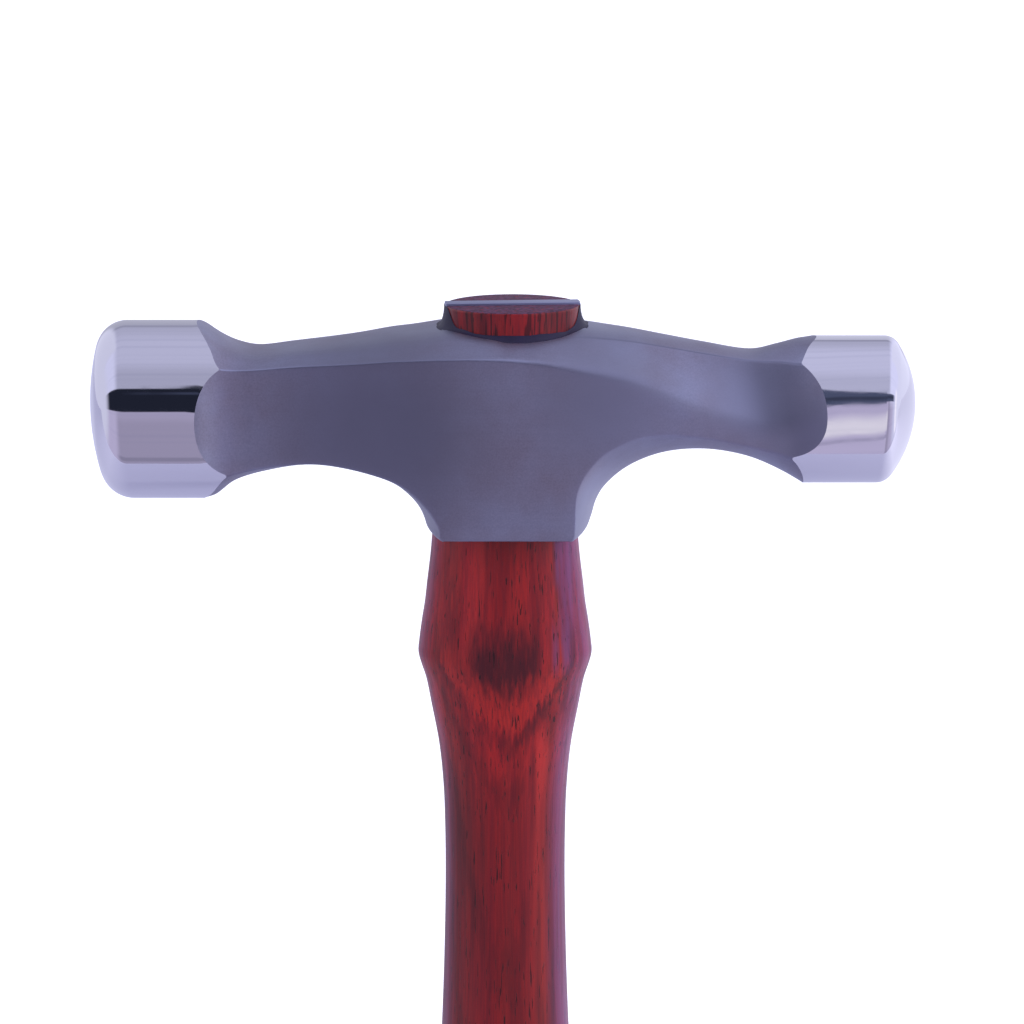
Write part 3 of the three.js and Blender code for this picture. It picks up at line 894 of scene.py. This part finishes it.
def make_bead(head, handle, head_piece):
    """A fillet of resin round the stub that fills the mouth and climbs the wedge's ends."""
    steps, fillet_steps, sharp_angle = 160, 8, math.radians(60)
    lip, skirt_drop, skirt_gap = 0.08 * MM, 2.4 * MM, 0.12 * MM
    over_ground, under_ground, foot_inset = 0.03 * MM, 0.25 * MM, 0.04 * MM
    # Its foot spreads unevenly, and most at the four corners between the wedge and the cheeks
    even_spread, lump_spread, fine_spread, corner_spread = (
        share * MM for share in (0.02, 0.1, 0.06, 0.6)
    )
    foot_power, brow_power = 1.6, 1.9
    # Its top is low on the cheeks and climbs to the top of the stub at the wedge's ends
    low_share, lump_share, fine_share = 0.6, 0.16, 0.1
    lowest, below_stub = 0.32 * MM, 0.05 * MM
    climb_height, climb_angle, climb_power = 1.15, 0.4, 4
    lump_pace, lump_place, fine_pace = 2.1, Vector((0, 0, 3.7)), 6.3
    cast_height, cast_beside = 6 * MM, 0.05 * MM
    crown = surface_tree(head_piece.data)

    def at(angle, height, out):
        half_width, half_depth, _, place = tenon_row(head, handle, height, out)
        return Vector((
            place + half_width * math.cos(angle), half_depth * math.sin(angle),
            head.axis_height + height,
        ))

    rings = []
    for step in range(steps):
        angle = math.tau * step / steps
        direction = Vector((math.cos(angle), math.sin(angle), 0))
        lump = noise.noise(direction * lump_pace + lump_place)
        fine = noise.noise(direction * fine_pace)
        climb = 0
        for end in (handle.wedge_turn, handle.wedge_turn + math.pi):
            away = (angle - end + math.pi) % math.tau - math.pi
            climb += climb_height * math.exp(-(away / climb_angle) ** climb_power)
        spread = handle.mouth_flare + even_spread + lump_spread * lump + fine_spread * fine
        spread += corner_spread * abs(math.sin(2 * angle))
        start = at(angle, head.crown_rise + cast_height, spread + cast_beside)
        hit, *_ = crown.ray_cast(start, Vector((0, 0, -1)))
        ground = hit.z - head.axis_height if hit else head.crown_rise
        top = max(ground + low_share * handle.bead_rise, head.crown_rise - lowest)
        top += handle.bead_rise * (lump_share * lump + fine_share * fine)
        top = between(top, handle.tenon_rise - below_stub, min(climb, 1))
        skirt = head.crown_rise - skirt_drop
        ring = [at(angle, skirt, lip), at(angle, top, lip)]
        for part in range(1, fillet_steps + 1):
            share = part / fillet_steps
            drop = (top - ground) * (1 - (1 - share) ** brow_power)
            out = between(lip, spread, share ** foot_power)
            ring.append(at(angle, top - drop + over_ground, out))
        ring.append(at(angle, ground - under_ground, handle.mouth_flare - foot_inset))
        flare = between(handle.mouth_flare, handle.eye_gap, skirt_drop / handle.mouth_depth)
        ring.append(at(angle, skirt, flare - skirt_gap))
        rings.append(ring)
    count = len(rings[0])
    points = [point for ring in rings for point in ring]
    faces = []
    for row in range(steps):
        here, after = row * count, (row + 1) % steps * count
        for column in range(count):
            beside = (column + 1) % count
            faces.append((here + column, here + beside, after + beside, after + column))
    made = mesh_object("resin", points, faces)
    outward = bmesh.new()
    outward.from_mesh(made.data)
    bmesh.ops.recalc_face_normals(outward, faces=outward.faces)
    outward.to_mesh(made.data)
    outward.free()
    made.data.set_sharp_from_angle(angle=sharp_angle)
    return made


# Finishes


def coat(made, *materials):
    """Puts the finishes in the mesh's slots, in place of what a boolean left there."""
    slots = made.data.materials
    while len(slots) > len(materials):
        slots.pop()
    for index, material in enumerate(materials):
        if index < len(slots):
            slots[index] = material
        else:
            slots.append(material)


def new_material(name):
    """A material with its tree, its shader and the piece's place in millimetres."""
    material = bpy.data.materials.new(name)
    material.use_nodes = True
    tree = material.node_tree
    place = add_node(tree, "ShaderNodeTexCoord").outputs["Object"]
    scaled = add_node(tree, "ShaderNodeVectorMath", {0: place, "Scale": 1 / MM}, operation="SCALE")
    return material, tree, tree.nodes["Principled BSDF"], scaled.outputs["Vector"]


def shade(rgb, factor):
    """A colour made lighter or darker by a factor, with alpha."""
    return (*(channel * factor for channel in rgb), 1)


def share_of(tree, *parts):
    """The product of numbers, sockets and nodes, and of ramps given as a value, start and end."""
    product = None
    for part in parts:
        if isinstance(part, tuple):
            part = add_node(tree, "ShaderNodeMapRange", part, interpolation_type="SMOOTHSTEP")
        if product is None:
            product = part
        else:
            product = add_node(tree, "ShaderNodeMath", (product, part), operation="MULTIPLY")
    return product


def paint(tree, base, *layers):
    """Lays colours over a base. Each layer is a colour and the parts of its share."""
    for over, *parts in layers:
        share = share_of(tree, *parts)
        base = add_node(tree, "ShaderNodeMix", {0: share, 6: base, 7: over}, data_type="RGBA")
    return base


def blasted_steel(head, finishes):
    """Bead-blasted tool steel: a satin grey, even grain and soft blurred reflections."""
    material, tree, shader, place = new_material("Bead-blasted steel")
    # Peened dimples are about 0.1 mm across and are drawn at 0.25 mm, to show
    dimple, cloud_width, line_width = 0.25, 9, 0.8
    grain = add_node(tree, "ShaderNodeTexNoise", {
        "Vector": place, "Scale": 1 / dimple, "Detail": 2, "Roughness": 0.6,
    })
    cloud = add_node(tree, "ShaderNodeTexNoise", {
        "Vector": place, "Scale": 1 / cloud_width, "Detail": 3, "Roughness": 0.55,
    })
    # Lines along the arms are left from grinding, and are faint under the blasting
    drawn = add_node(tree, "ShaderNodeVectorMath", (place, (0.05, 1, 2.2)), operation="MULTIPLY")
    lines = add_node(tree, "ShaderNodeTexNoise", {
        "Vector": drawn, "Scale": 1 / line_width, "Detail": 2,
    })
    warmth = add_node(tree, "ShaderNodeMapRange", (cloud, 0.35, 0.65))
    tone = paint(tree, shade(finishes.blasted, 1.04), (shade(finishes.blasted_warm, 0.92), warmth))
    for pattern, strength in ((lines, 0.05), (grain, 0.2)):
        tone = add_node(tree, "ShaderNodeMix", {
            0: strength, 6: tone, 7: pattern,
        }, data_type="RGBA", blend_type="OVERLAY")
    # The crisp ridge gets a painted highlight, and the crease a painted shade
    layers = [
        (shade(finishes.blasted, factor),
         add_node(tree, "ShaderNodeAttribute", attribute_name=name).outputs["Fac"])
        for name, factor in (("ridge_highlight", 1.3), ("crease_shade", 0.7))
    ]
    # Patches of painted shade darken it round the eye and on the right arm, and
    # two patches of painted light brighten it on the right. Each patch has its place along and
    # above the striking axis, its inner and outer radius in millimetres, and its shade
    cheek = -9
    for x, z, inner, outer, factor in (
        (-17, -1, 4, 24, 0.66), (13, 3, 2, 15, 0.84), (43, -2, 1, 9, 0.8),
        (35, 3.5, 1, 11, 1.14), (12, -12, 2, 7.5, 1.08),
    ):
        centre = (x, cheek, head.axis_height / MM + z)
        away = add_node(tree, "ShaderNodeVectorMath", (place, centre), operation="DISTANCE")
        layers.append((shade(finishes.blasted, factor), (away, outer, inner)))
    fill(shader, {
        "Base Color": paint(tree, tone, *layers),
        "Metallic": 1.0,
        "Roughness": add_node(tree, "ShaderNodeMapRange", (cloud, 0.3, 0.7, 0.42, 0.5)),
        "Normal": add_node(tree, "ShaderNodeBump", {
            "Strength": 0.25, "Distance": 0.02 * MM, "Height": grain,
        }),
    })
    return material


def polished_steel(finishes):
    """Mirror-polished steel: clear reflections that waver where it was buffed by hand."""
    material, tree, shader, place = new_material("Mirror-polished steel")
    # Waves left by the buff are about 8 mm long, and smears of its compound 3 mm
    wave = add_node(tree, "ShaderNodeTexNoise", {"Vector": place, "Scale": 1 / 8, "Detail": 0})
    smear = add_node(tree, "ShaderNodeTexNoise", {"Vector": place, "Scale": 1 / 3, "Detail": 3})
    fill(shader, {
        "Base Color": shade(finishes.polished, 1),
        "Metallic": 1.0,
        "Roughness": add_node(tree, "ShaderNodeMapRange", (smear, 0.35, 0.7, 0.03, 0.07)),
        "Normal": add_node(tree, "ShaderNodeBump", {
            "Strength": 0.1, "Distance": 0.2 * MM, "Height": wave,
        }),
    })
    return material


def wood_figure(tree, place):
    """Noises drawn out along the grain, by name, from their width and length in millimetres."""
    figure = {}
    for name, width, length, detail in (
        ("fibre", 0.3, 9, 2), ("streak", 1.2, 34, 3), ("wide streak", 3.4, 44, 2),
        ("fray", 0.5, 4, 3), ("sway", 9, 16, 1), ("flank", 1.4, 30, 2), ("flame", 1.8, 30, 2),
        # Pores are 0.2 mm wide and 2 to 5 mm long
        ("pore", 0.24, 3.4, 1), ("broad pore", 0.5, 6, 1),
        ("fleck", 0.5, 0.5, 3), ("bright fleck", 0.7, 0.7, 2),
    ):
        drawn = add_node(tree, "ShaderNodeVectorMath", (
            place, (1 / width, 1 / width, 1 / length),
        ), operation="MULTIPLY")
        figure[name] = add_node(tree, "ShaderNodeTexNoise", {
            "Vector": drawn, "Scale": 1, "Detail": detail,
        })
    return figure


def red_hardwood(head, handle, finishes):
    """Oiled red hardwood: dark growth layers, long streaks and open pores under a sheen."""
    material, tree, shader, place = new_material("Oiled red hardwood")
    figure = wood_figure(tree, place)
    red, bright, dark, violet, end_grain = (partial(shade, rgb) for rgb in (
        finishes.wood_red, finishes.wood_bright, finishes.wood_dark,
        finishes.violet_sheen, finishes.end_grain,
    ))
    x, _, z = add_node(tree, "ShaderNodeSeparateXYZ", (place,)).outputs
    over_ring = add_node(tree, "ShaderNodeMath", (z, -handle.ring_height / MM))
    axis, stub_top = head.axis_height / MM, (head.axis_height + handle.tenon_rise) / MM

    # Layers are round a pith 34 mm behind the handle and lean up it, so the ring
    # cuts them into nested arches. Each is placed by its depth from the handle's axis
    pith = 34
    flat = add_node(tree, "ShaderNodeVectorMath", (place, (1, 1, 0)), operation="MULTIPLY")
    radius = add_node(tree, "ShaderNodeVectorMath", (flat, (0, pith, 0)), operation="DISTANCE")
    depth = add_node(tree, "ShaderNodeMath", (over_ring, 0.1, -pith), operation="MULTIPLY_ADD")
    fray, sway = (
        add_node(
            tree, "ShaderNodeMath", (figure[name], range_mm, -range_mm / 2),
            operation="MULTIPLY_ADD",
        )
        for name, range_mm in (("fray", 1.5), ("sway", 0.8))
    )
    layer = depth
    for part in (radius, fray, sway):
        layer = add_node(tree, "ShaderNodeMath", (layer, part))

    streak = share_of(tree, (figure["streak"], 0.38, 0.62))
    pore = share_of(tree, (figure["pore"], 0.65, 0.7))
    wood = paint(
        tree, red(0.7),
        (red(1.15), (figure["wide streak"], 0.36, 0.64)),
        (bright(0.85), streak, 0.45),
        (bright(0.8), (layer, 7.3, 7.7), (layer, 9.2, 8.4), (over_ring, 5, -1), 0.8),
        (dark(1.8), (figure["fibre"], 0.64, 0.36), 0.3),
    )

    # The darkest layer shows only as a soft patch on the ring, the next as an arch round it,
    # stronger on the right, and the rest as faint rings
    ragged = add_node(tree, "ShaderNodeMath", (fray, 7, over_ring), operation="MULTIPLY_ADD")
    beside = add_node(tree, "ShaderNodeMath", (
        add_node(tree, "ShaderNodeMath", (x,), operation="ABSOLUTE"), fray,
    ))
    patch = share_of(tree, (layer, 8, 9), (ragged, 9, 0), (beside, 6.4, 3.6), 0.85)
    rightward = add_node(tree, "ShaderNodeMath", (
        share_of(tree, (x, -2, 4)), 0.35, 0.3,
    ), operation="MULTIPLY_ADD")
    arch = share_of(tree, (layer, 6.7, 7.1), (layer, 7.6, 7.1), rightward, (over_ring, 8, 0))
    ring_spacing = 2.6
    phase = share_of(tree, layer, math.tau / ring_spacing)
    layers = add_node(tree, "ShaderNodeMath", (phase,), operation="SINE")
    rings = share_of(tree, (layers, 0.5, 1), 0.25)
    darkness = patch
    for part in (arch, rings):
        darkness = add_node(tree, "ShaderNodeMath", (darkness, part), operation="MAXIMUM")

    facing = add_node(tree, "ShaderNodeSeparateXYZ", (
        add_node(tree, "ShaderNodeNewGeometry").outputs["Normal"],
    )).outputs
    cast = add_node(tree, "ShaderNodeMath", (streak, 0.2, 0.3), operation="MULTIPLY_ADD")
    below_stub = (z, axis + 5, axis)
    wood = paint(
        tree, wood,
        (dark(1), darkness),
        # A painted violet reflection runs up the right flank, over the ring, and a bright streak
        # below it
        (violet(0.55), (x, 6.4, 7.4), (x, 10.2, 9), (over_ring, -3, 1), (over_ring, 22, 17),
         (figure["flank"], 0.3, 0.6), 0.65),
        (bright(1.25), (x, 2.2, 4.8), (x, 7.2, 5.2), (over_ring, -6, -14),
         (over_ring, -75, -40), (figure["flame"], 0.3, 0.55), 0.6),
        # Below the ring the wood darkens
        (dark(0.6), (over_ring, -8, -26), 0.42),
        (dark(0.3), pore, 0.8),
        # Painted violet sheen on the flanks, wider on the right
        (violet(1), (facing["X"], 0.55, 0.95), cast, below_stub),
        (violet(1), (facing["X"], -0.72, -1), 0.6, cast, below_stub),
    )

    # The stub's sides are darker, with broad black pores, and its sawn top is duller, its violet
    # grey partly a painted reflection of the lilac light
    soaked = paint(
        tree, wood, (dark(0.35), (figure["broad pore"], 0.54, 0.64), 0.75), (dark(1), 0.35),
    )
    sawn = share_of(tree, (facing["Z"], 0.7, 0.9), (z, stub_top - 2, stub_top - 1))
    grain = paint(
        tree, end_grain(0.5), (end_grain(1.25), (figure["fleck"], 0.35, 0.65)),
        (bright(0.6), (figure["bright fleck"], 0.55, 0.7), 0.5),
    )
    wood = paint(tree, wood, (soaked, (z, axis, axis + 5)), (grain, sawn))
    oiled = add_node(tree, "ShaderNodeMath", (streak, -0.06, 0.4), operation="MULTIPLY_ADD")
    height = add_node(
        tree, "ShaderNodeMath", (share_of(tree, streak, 0.3), pore), operation="SUBTRACT",
    )
    fill(shader, {
        "Base Color": wood,
        "IOR": 1.36,
        "Roughness": add_node(tree, "ShaderNodeMath", (sawn, 0.4, oiled), operation="MULTIPLY_ADD"),
        "Normal": add_node(tree, "ShaderNodeBump", {
            "Strength": 0.5, "Distance": 0.06 * MM, "Height": height,
        }),
    })
    return material


def ground_steel(finishes):
    """Ground mild steel: pale, with fine parallel scratches along the wedge."""
    material, tree, shader, place = new_material("Ground mild steel")
    # Scratches are about 8 mm long and are drawn 0.17 mm wide, to show
    drawn = add_node(tree, "ShaderNodeVectorMath", (place, (0.12, 6, 6)), operation="MULTIPLY")
    scratch = add_node(tree, "ShaderNodeTexNoise", {"Vector": drawn, "Scale": 1, "Detail": 3})
    fill(shader, {
        "Base Color": paint(
            tree, shade(finishes.wedge, 0.85), (shade(finishes.wedge, 1.12), scratch),
        ),
        "Metallic": 1.0,
        "Roughness": add_node(tree, "ShaderNodeMapRange", (scratch, 0, 1, 0.4, 0.5)),
        "Normal": add_node(tree, "ShaderNodeBump", {
            "Strength": 0.3, "Distance": 0.02 * MM, "Height": scratch,
        }),
    })
    return material


def cured_resin(finishes):
    """Cured epoxy resin: dark navy, with a dull skin that is slightly wavy where it set."""
    material, tree, shader, place = new_material("Cured navy resin")
    # It set in waves about 1.4 mm long
    flow = add_node(tree, "ShaderNodeTexNoise", {"Vector": place, "Scale": 1 / 1.4, "Detail": 2})
    fill(shader, {
        "Base Color": paint(tree, shade(finishes.resin, 0.7), (shade(finishes.resin, 1.3), flow)),
        "IOR": 1.42,
        "Roughness": add_node(tree, "ShaderNodeMapRange", (flow, 0, 1, 0.5, 0.7)),
        "Normal": add_node(tree, "ShaderNodeBump", {
            "Strength": 0.4, "Distance": 0.08 * MM, "Height": flow,
        }),
    })
    return material


# Stage


def studio_world(stage):
    """A pale tent round the hammer, open in front onto a dim room with a dark band."""
    world = bpy.data.worlds.new("Studio")
    world.use_nodes = True
    tree = world.node_tree
    place = add_node(tree, "ShaderNodeTexCoord").outputs["Generated"]
    side, depth, rise = add_node(tree, "ShaderNodeSeparateXYZ", (place,)).outputs
    opening, tent, backdrop, glow, room = (partial(shade, rgb) for rgb in (
        stage.opening_light, stage.tent_light, stage.backdrop_light,
        stage.glow_light, stage.room_dark,
    ))

    # Degrees up from straight ahead of the hammer, over the roof and down behind it
    turn = add_node(tree, "ShaderNodeMath", (rise, share_of(tree, depth, -1)), operation="ARCTAN2")
    angle = share_of(tree, turn, math.degrees(1))
    right = share_of(tree, (side, -0.03, 0.06))
    far, near = (share_of(tree, (side, *ends)) for ends in ((0.14, 0.42), (-0.27, -0.57)))
    # The fan opens outwards along the smaller face's cylinder, and the tilt inwards along
    # the larger one's
    fan = add_node(tree, "ShaderNodeMapRange", (side, 0.081, 0.098))
    tilt = add_node(tree, "ShaderNodeMapRange", (side, -0.088, -0.08))
    moved = {}
    for name, moves in (
        ("glow", ((fan, 14),)), ("line", ((right, 12), (fan, 13))), ("folds", ((fan, 6),)),
        ("low", ((right, 6.3), (fan, 9))), ("high", ((right, 0.5), (fan, -7.5), (tilt, 4.5))),
        ("core", ((fan, 3),)),
    ):
        moved[name] = angle
        for share, degrees in moves:
            moved[name] = add_node(tree, "ShaderNodeMath", (
                share, -degrees, moved[name],
            ), operation="MULTIPLY_ADD")

    front = paint(
        tree, opening(1.02),
        (opening(1.5), right),
        (opening(1.4), (angle, -12, 6), 0.5),
        # A glow low on the right, and under it a thin line
        (glow(1.1), right, (moved["glow"], -1, -20), (moved["glow"], -41, -34), 0.9),
        (room(4), (moved["line"], -63, -60), (moved["line"], -54, -57), 0.3),
        (opening(1.05), (side, 0.12, 0.2)),
        (opening(1.45), (side, 0.25, 0.5)),
        (tent(1.3), (side, 0.5, 0.85)),
        (opening(1.5), near),
    )
    wall = paint(tree, tent(0.8), (tent(0.95), right))
    roof = paint(tree, tent(1), (tent(1.12), right), (tent(0.84), (angle, 105, 138)))
    back = paint(tree, backdrop(0.72), (backdrop(0.95), right))
    folds = add_node(tree, "ShaderNodeTexNoise", {
        "W": share_of(tree, moved["folds"], 0.14), "Scale": 1, "Detail": 2,
    }, noise_dimensions="1D").outputs["Fac"]

    # The dark band is lower and darker on the left, where a pale thread runs along it, and
    # tapers on the right
    core = share_of(tree, (moved["folds"], 18, 22), (moved["core"], 29, 25))
    band = paint(
        tree, room(1),
        (room(5), (angle, 27, 29), (angle, 32, 30), (side, -0.097, -0.088), 0.5),
        (paint(tree, room(5), (room(2.8), core)), right),
    )
    sides = paint(tree, backdrop(1.15), (backdrop(1.38), (side, -0.5, 0.5)))
    aside = add_node(tree, "ShaderNodeMath", (side,), operation="ABSOLUTE")
    behind = share_of(tree, (depth, 0, 0.15), (aside, 0.3, 0.45))
    ahead = add_node(tree, "ShaderNodeMath", (1, behind), operation="SUBTRACT")
    light = paint(
        tree, front,
        (wall, (angle, 24, 27)),
        (roof, (angle, 54, 76)),
        # The seam between the roof and the backdrop
        (tent(0.62), (angle, 139, 143), (angle, 150, 147)),
        (back, (angle, 147, 150)),
        (tent(1.3), near, (angle, 10, 40)),
        (tent(1.5), far, (angle, 5, 40)),
        # A bright slit beside the tent makes the line down the smaller face's rim
        (
            glow(1.5), (side, 0.8, 0.85), (side, 0.98, 0.94), (angle, -62, -45),
            (angle, 60, 40), 0.85,
        ),
        (room(10), (folds, 0.45, 0.75), 0.1),
        (band, (moved["low"], 5.2, 6.8), (moved["high"], 36.6, 34.8), (side, 0.85, 0.6)),
    )
    light = paint(tree, sides, (light, (side, -0.95, -0.75), (side, 0.98, 0.85), ahead))
    seen = add_node(tree, "ShaderNodeLightPath").outputs["Is Camera Ray"]
    fill(tree.nodes["Background"], {"Color": paint(tree, light, ((1, 1, 1, 1), seen))})
    return world


def pale_floor(stage):
    """Matt white paint that reads white and still takes the hammer's shadow."""
    material, tree, shader, place = new_material("Matt white paint")
    path = add_node(tree, "ShaderNodeLightPath").outputs
    # Its own light, so that the camera sees white paper
    paper_glow = 0.5
    x = add_node(tree, "ShaderNodeSeparateXYZ", (place,)).outputs["X"]
    # The floor beyond each face glows for reflected rays only, a painted reflection that brightens
    # each dome, more so at the smaller one
    right, left = (
        add_node(tree, "ShaderNodeMapRange", (x, *reach)) for reach in (
            (60, 300, 0, 0.48), (-60, -300, 0, 0.2),
        )
    )
    steel = share_of(tree, path["Is Glossy Ray"], add_node(tree, "ShaderNodeMath", (right, left)))
    fill(shader, {
        "Base Color": paint(
            tree, shade(stage.floor_colour, 1), (shade(stage.floor_tint, 1), path["Is Glossy Ray"]),
        ),
        "Roughness": 0.9,
        "Specular IOR Level": 0.0,
        "Emission Color": (1, 1, 1, 1),
        "Emission Strength": add_node(tree, "ShaderNodeMath", (
            path["Is Camera Ray"], paper_glow, steel,
        ), operation="MULTIPLY_ADD"),
    })
    return material


def area_light(name, place, aim, width, watts, colour_value):
    """A soft square lamp aimed at a point."""
    lamp = bpy.data.lights.new(name, "AREA")
    lamp.size, lamp.energy, lamp.color = width, watts, colour_value
    made = link_object(name, lamp)
    made.location = place
    made.rotation_euler = (Vector(aim) - Vector(place)).to_track_quat("-Z", "Y").to_euler()
    made.visible_glossy = False


# Operators


class HAMMER_OT_head(bpy.types.Operator):
    """Makes the steel head, blasted on its body and polished on its two faces"""

    bl_idname = "hammer.make_head"
    bl_label = "Head"

    def execute(self, context):
        scene = context.scene
        head, handle = scene.hammer_head_sizes, scene.hammer_handle_sizes
        made = make_head(head, handle)
        made.name = "steel_head"
        made.data.transform(Matrix.Translation((0, 0, head.axis_height)))
        for face in made.data.polygons:
            if face.material_index == EYE_WALL:
                face.material_index = FORGED
        finishes = scene.hammer_finishes
        coat(made, blasted_steel(head, finishes), polished_steel(finishes))
        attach(made, "root")
        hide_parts("hammer_head")
        return {"FINISHED"}


class HAMMER_OT_handle(bpy.types.Operator):
    """Makes the oval handle with its ring, throat and tenon"""

    bl_idname = "hammer.make_handle"
    bl_label = "Handle"

    def execute(self, context):
        scene = context.scene
        head, handle = scene.hammer_head_sizes, scene.hammer_handle_sizes
        finish = red_hardwood(head, handle, scene.hammer_finishes)
        made = make_handle(head, handle, finish)
        made.name = "wooden_handle"
        coat(made, finish)
        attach(made, "root")
        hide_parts("handle")
        return {"FINISHED"}


class HAMMER_OT_wedge(bpy.types.Operator):
    """Makes the steel wedge in the top of the stub"""

    bl_idname = "hammer.make_wedge"
    bl_label = "Wedge"

    def execute(self, context):
        scene = context.scene
        made = make_wedge(scene.hammer_head_sizes, scene.hammer_handle_sizes)
        made.name = "ground_wedge"
        coat(made, ground_steel(scene.hammer_finishes))
        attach(made, "root")
        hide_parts("steel_wedge")
        return {"FINISHED"}


class HAMMER_OT_resin(bpy.types.Operator):
    """Makes the bead of resin between the stub and the head"""

    bl_idname = "hammer.make_resin"
    bl_label = "Resin"

    def execute(self, context):
        scene = context.scene
        piece = bpy.data.objects["steel_head"]
        made = make_bead(scene.hammer_head_sizes, scene.hammer_handle_sizes, piece)
        made.name = "resin_fillet"
        coat(made, cured_resin(scene.hammer_finishes))
        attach(made, "root")
        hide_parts("resin_bead")
        return {"FINISHED"}


class HAMMER_OT_stage(bpy.types.Operator):
    """Sets the floor, the studio light and the camera"""

    bl_idname = "hammer.set_stage"
    bl_label = "Stage"

    def execute(self, context):
        scene = context.scene
        stage = scene.hammer_stage
        scene.view_settings.view_transform = "Standard"
        scene.world = studio_world(stage)
        wide, front = stage.floor_radius, stage.floor_front
        corners = [(-wide, -front, 0), (wide, -front, 0), (wide, wide, 0), (-wide, wide, 0)]
        floor = mesh_object("floor", corners, [(0, 1, 2, 3)])
        coat(floor, pale_floor(stage))
        # Both lamps are aimed at the head
        aim = (0, 0, 0.24)
        area_light("key_lamp", (0.75, -0.65, 0.75), aim, 0.6, 7, (1, 0.99, 0.97))
        area_light("fill_lamp", (-0.6, -0.9, 0.5), aim, 0.7, 4, (0.95, 0.96, 1))

        lens = bpy.data.cameras.new("camera")
        lens.sensor_width = SENSOR_WIDTH
        lens.lens = stage.focal_pixels / IMAGE_PIXELS * SENSOR_WIDTH
        camera = link_object("camera", lens)
        target = Vector((stage.look_side, 0, stage.look_height))
        rise = stage.camera_elevation
        back = Vector((0, -math.cos(rise), math.sin(rise)))
        camera.location = target + back * stage.camera_distance
        camera.rotation_euler = (-back).to_track_quat("-Z", "Y").to_euler()
        scene.camera = camera
        return {"FINISHED"}


class HAMMER_PT_panel(bpy.types.Panel):
    """Lists the hammer's pieces and its stage"""

    bl_label = "Planishing hammer"
    bl_idname = "HAMMER_PT_panel"
    bl_space_type = "VIEW_3D"
    bl_region_type = "UI"
    bl_category = "Hammer"

    def draw(self, context):
        for operator in (
            HAMMER_OT_head, HAMMER_OT_handle, HAMMER_OT_wedge, HAMMER_OT_resin, HAMMER_OT_stage,
        ):
            self.layout.operator(operator.bl_idname)


CLASSES = (
    HammerHeadSizes, HammerHandleSizes, HammerFinishes, HammerStage,
    HAMMER_OT_head, HAMMER_OT_handle, HAMMER_OT_wedge, HAMMER_OT_resin, HAMMER_OT_stage,
    HAMMER_PT_panel,
)


def register():
    for item in CLASSES:
        bpy.utils.register_class(item)
    scene_type = bpy.types.Scene
    scene_type.hammer_head_sizes = bpy.props.PointerProperty(type=HammerHeadSizes)
    scene_type.hammer_handle_sizes = bpy.props.PointerProperty(type=HammerHandleSizes)
    scene_type.hammer_finishes = bpy.props.PointerProperty(type=HammerFinishes)
    scene_type.hammer_stage = bpy.props.PointerProperty(type=HammerStage)


def unregister():
    scene_type = bpy.types.Scene
    del scene_type.hammer_stage
    del scene_type.hammer_finishes
    del scene_type.hammer_handle_sizes
    del scene_type.hammer_head_sizes
    for item in reversed(CLASSES):
        bpy.utils.unregister_class(item)


def main():
    register()
    bpy.ops.hammer.make_head()
    bpy.ops.hammer.make_handle()
    bpy.ops.hammer.make_wedge()
    bpy.ops.hammer.make_resin()
    bpy.ops.hammer.set_stage()
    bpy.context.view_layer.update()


if __name__ == "__main__":
    main()
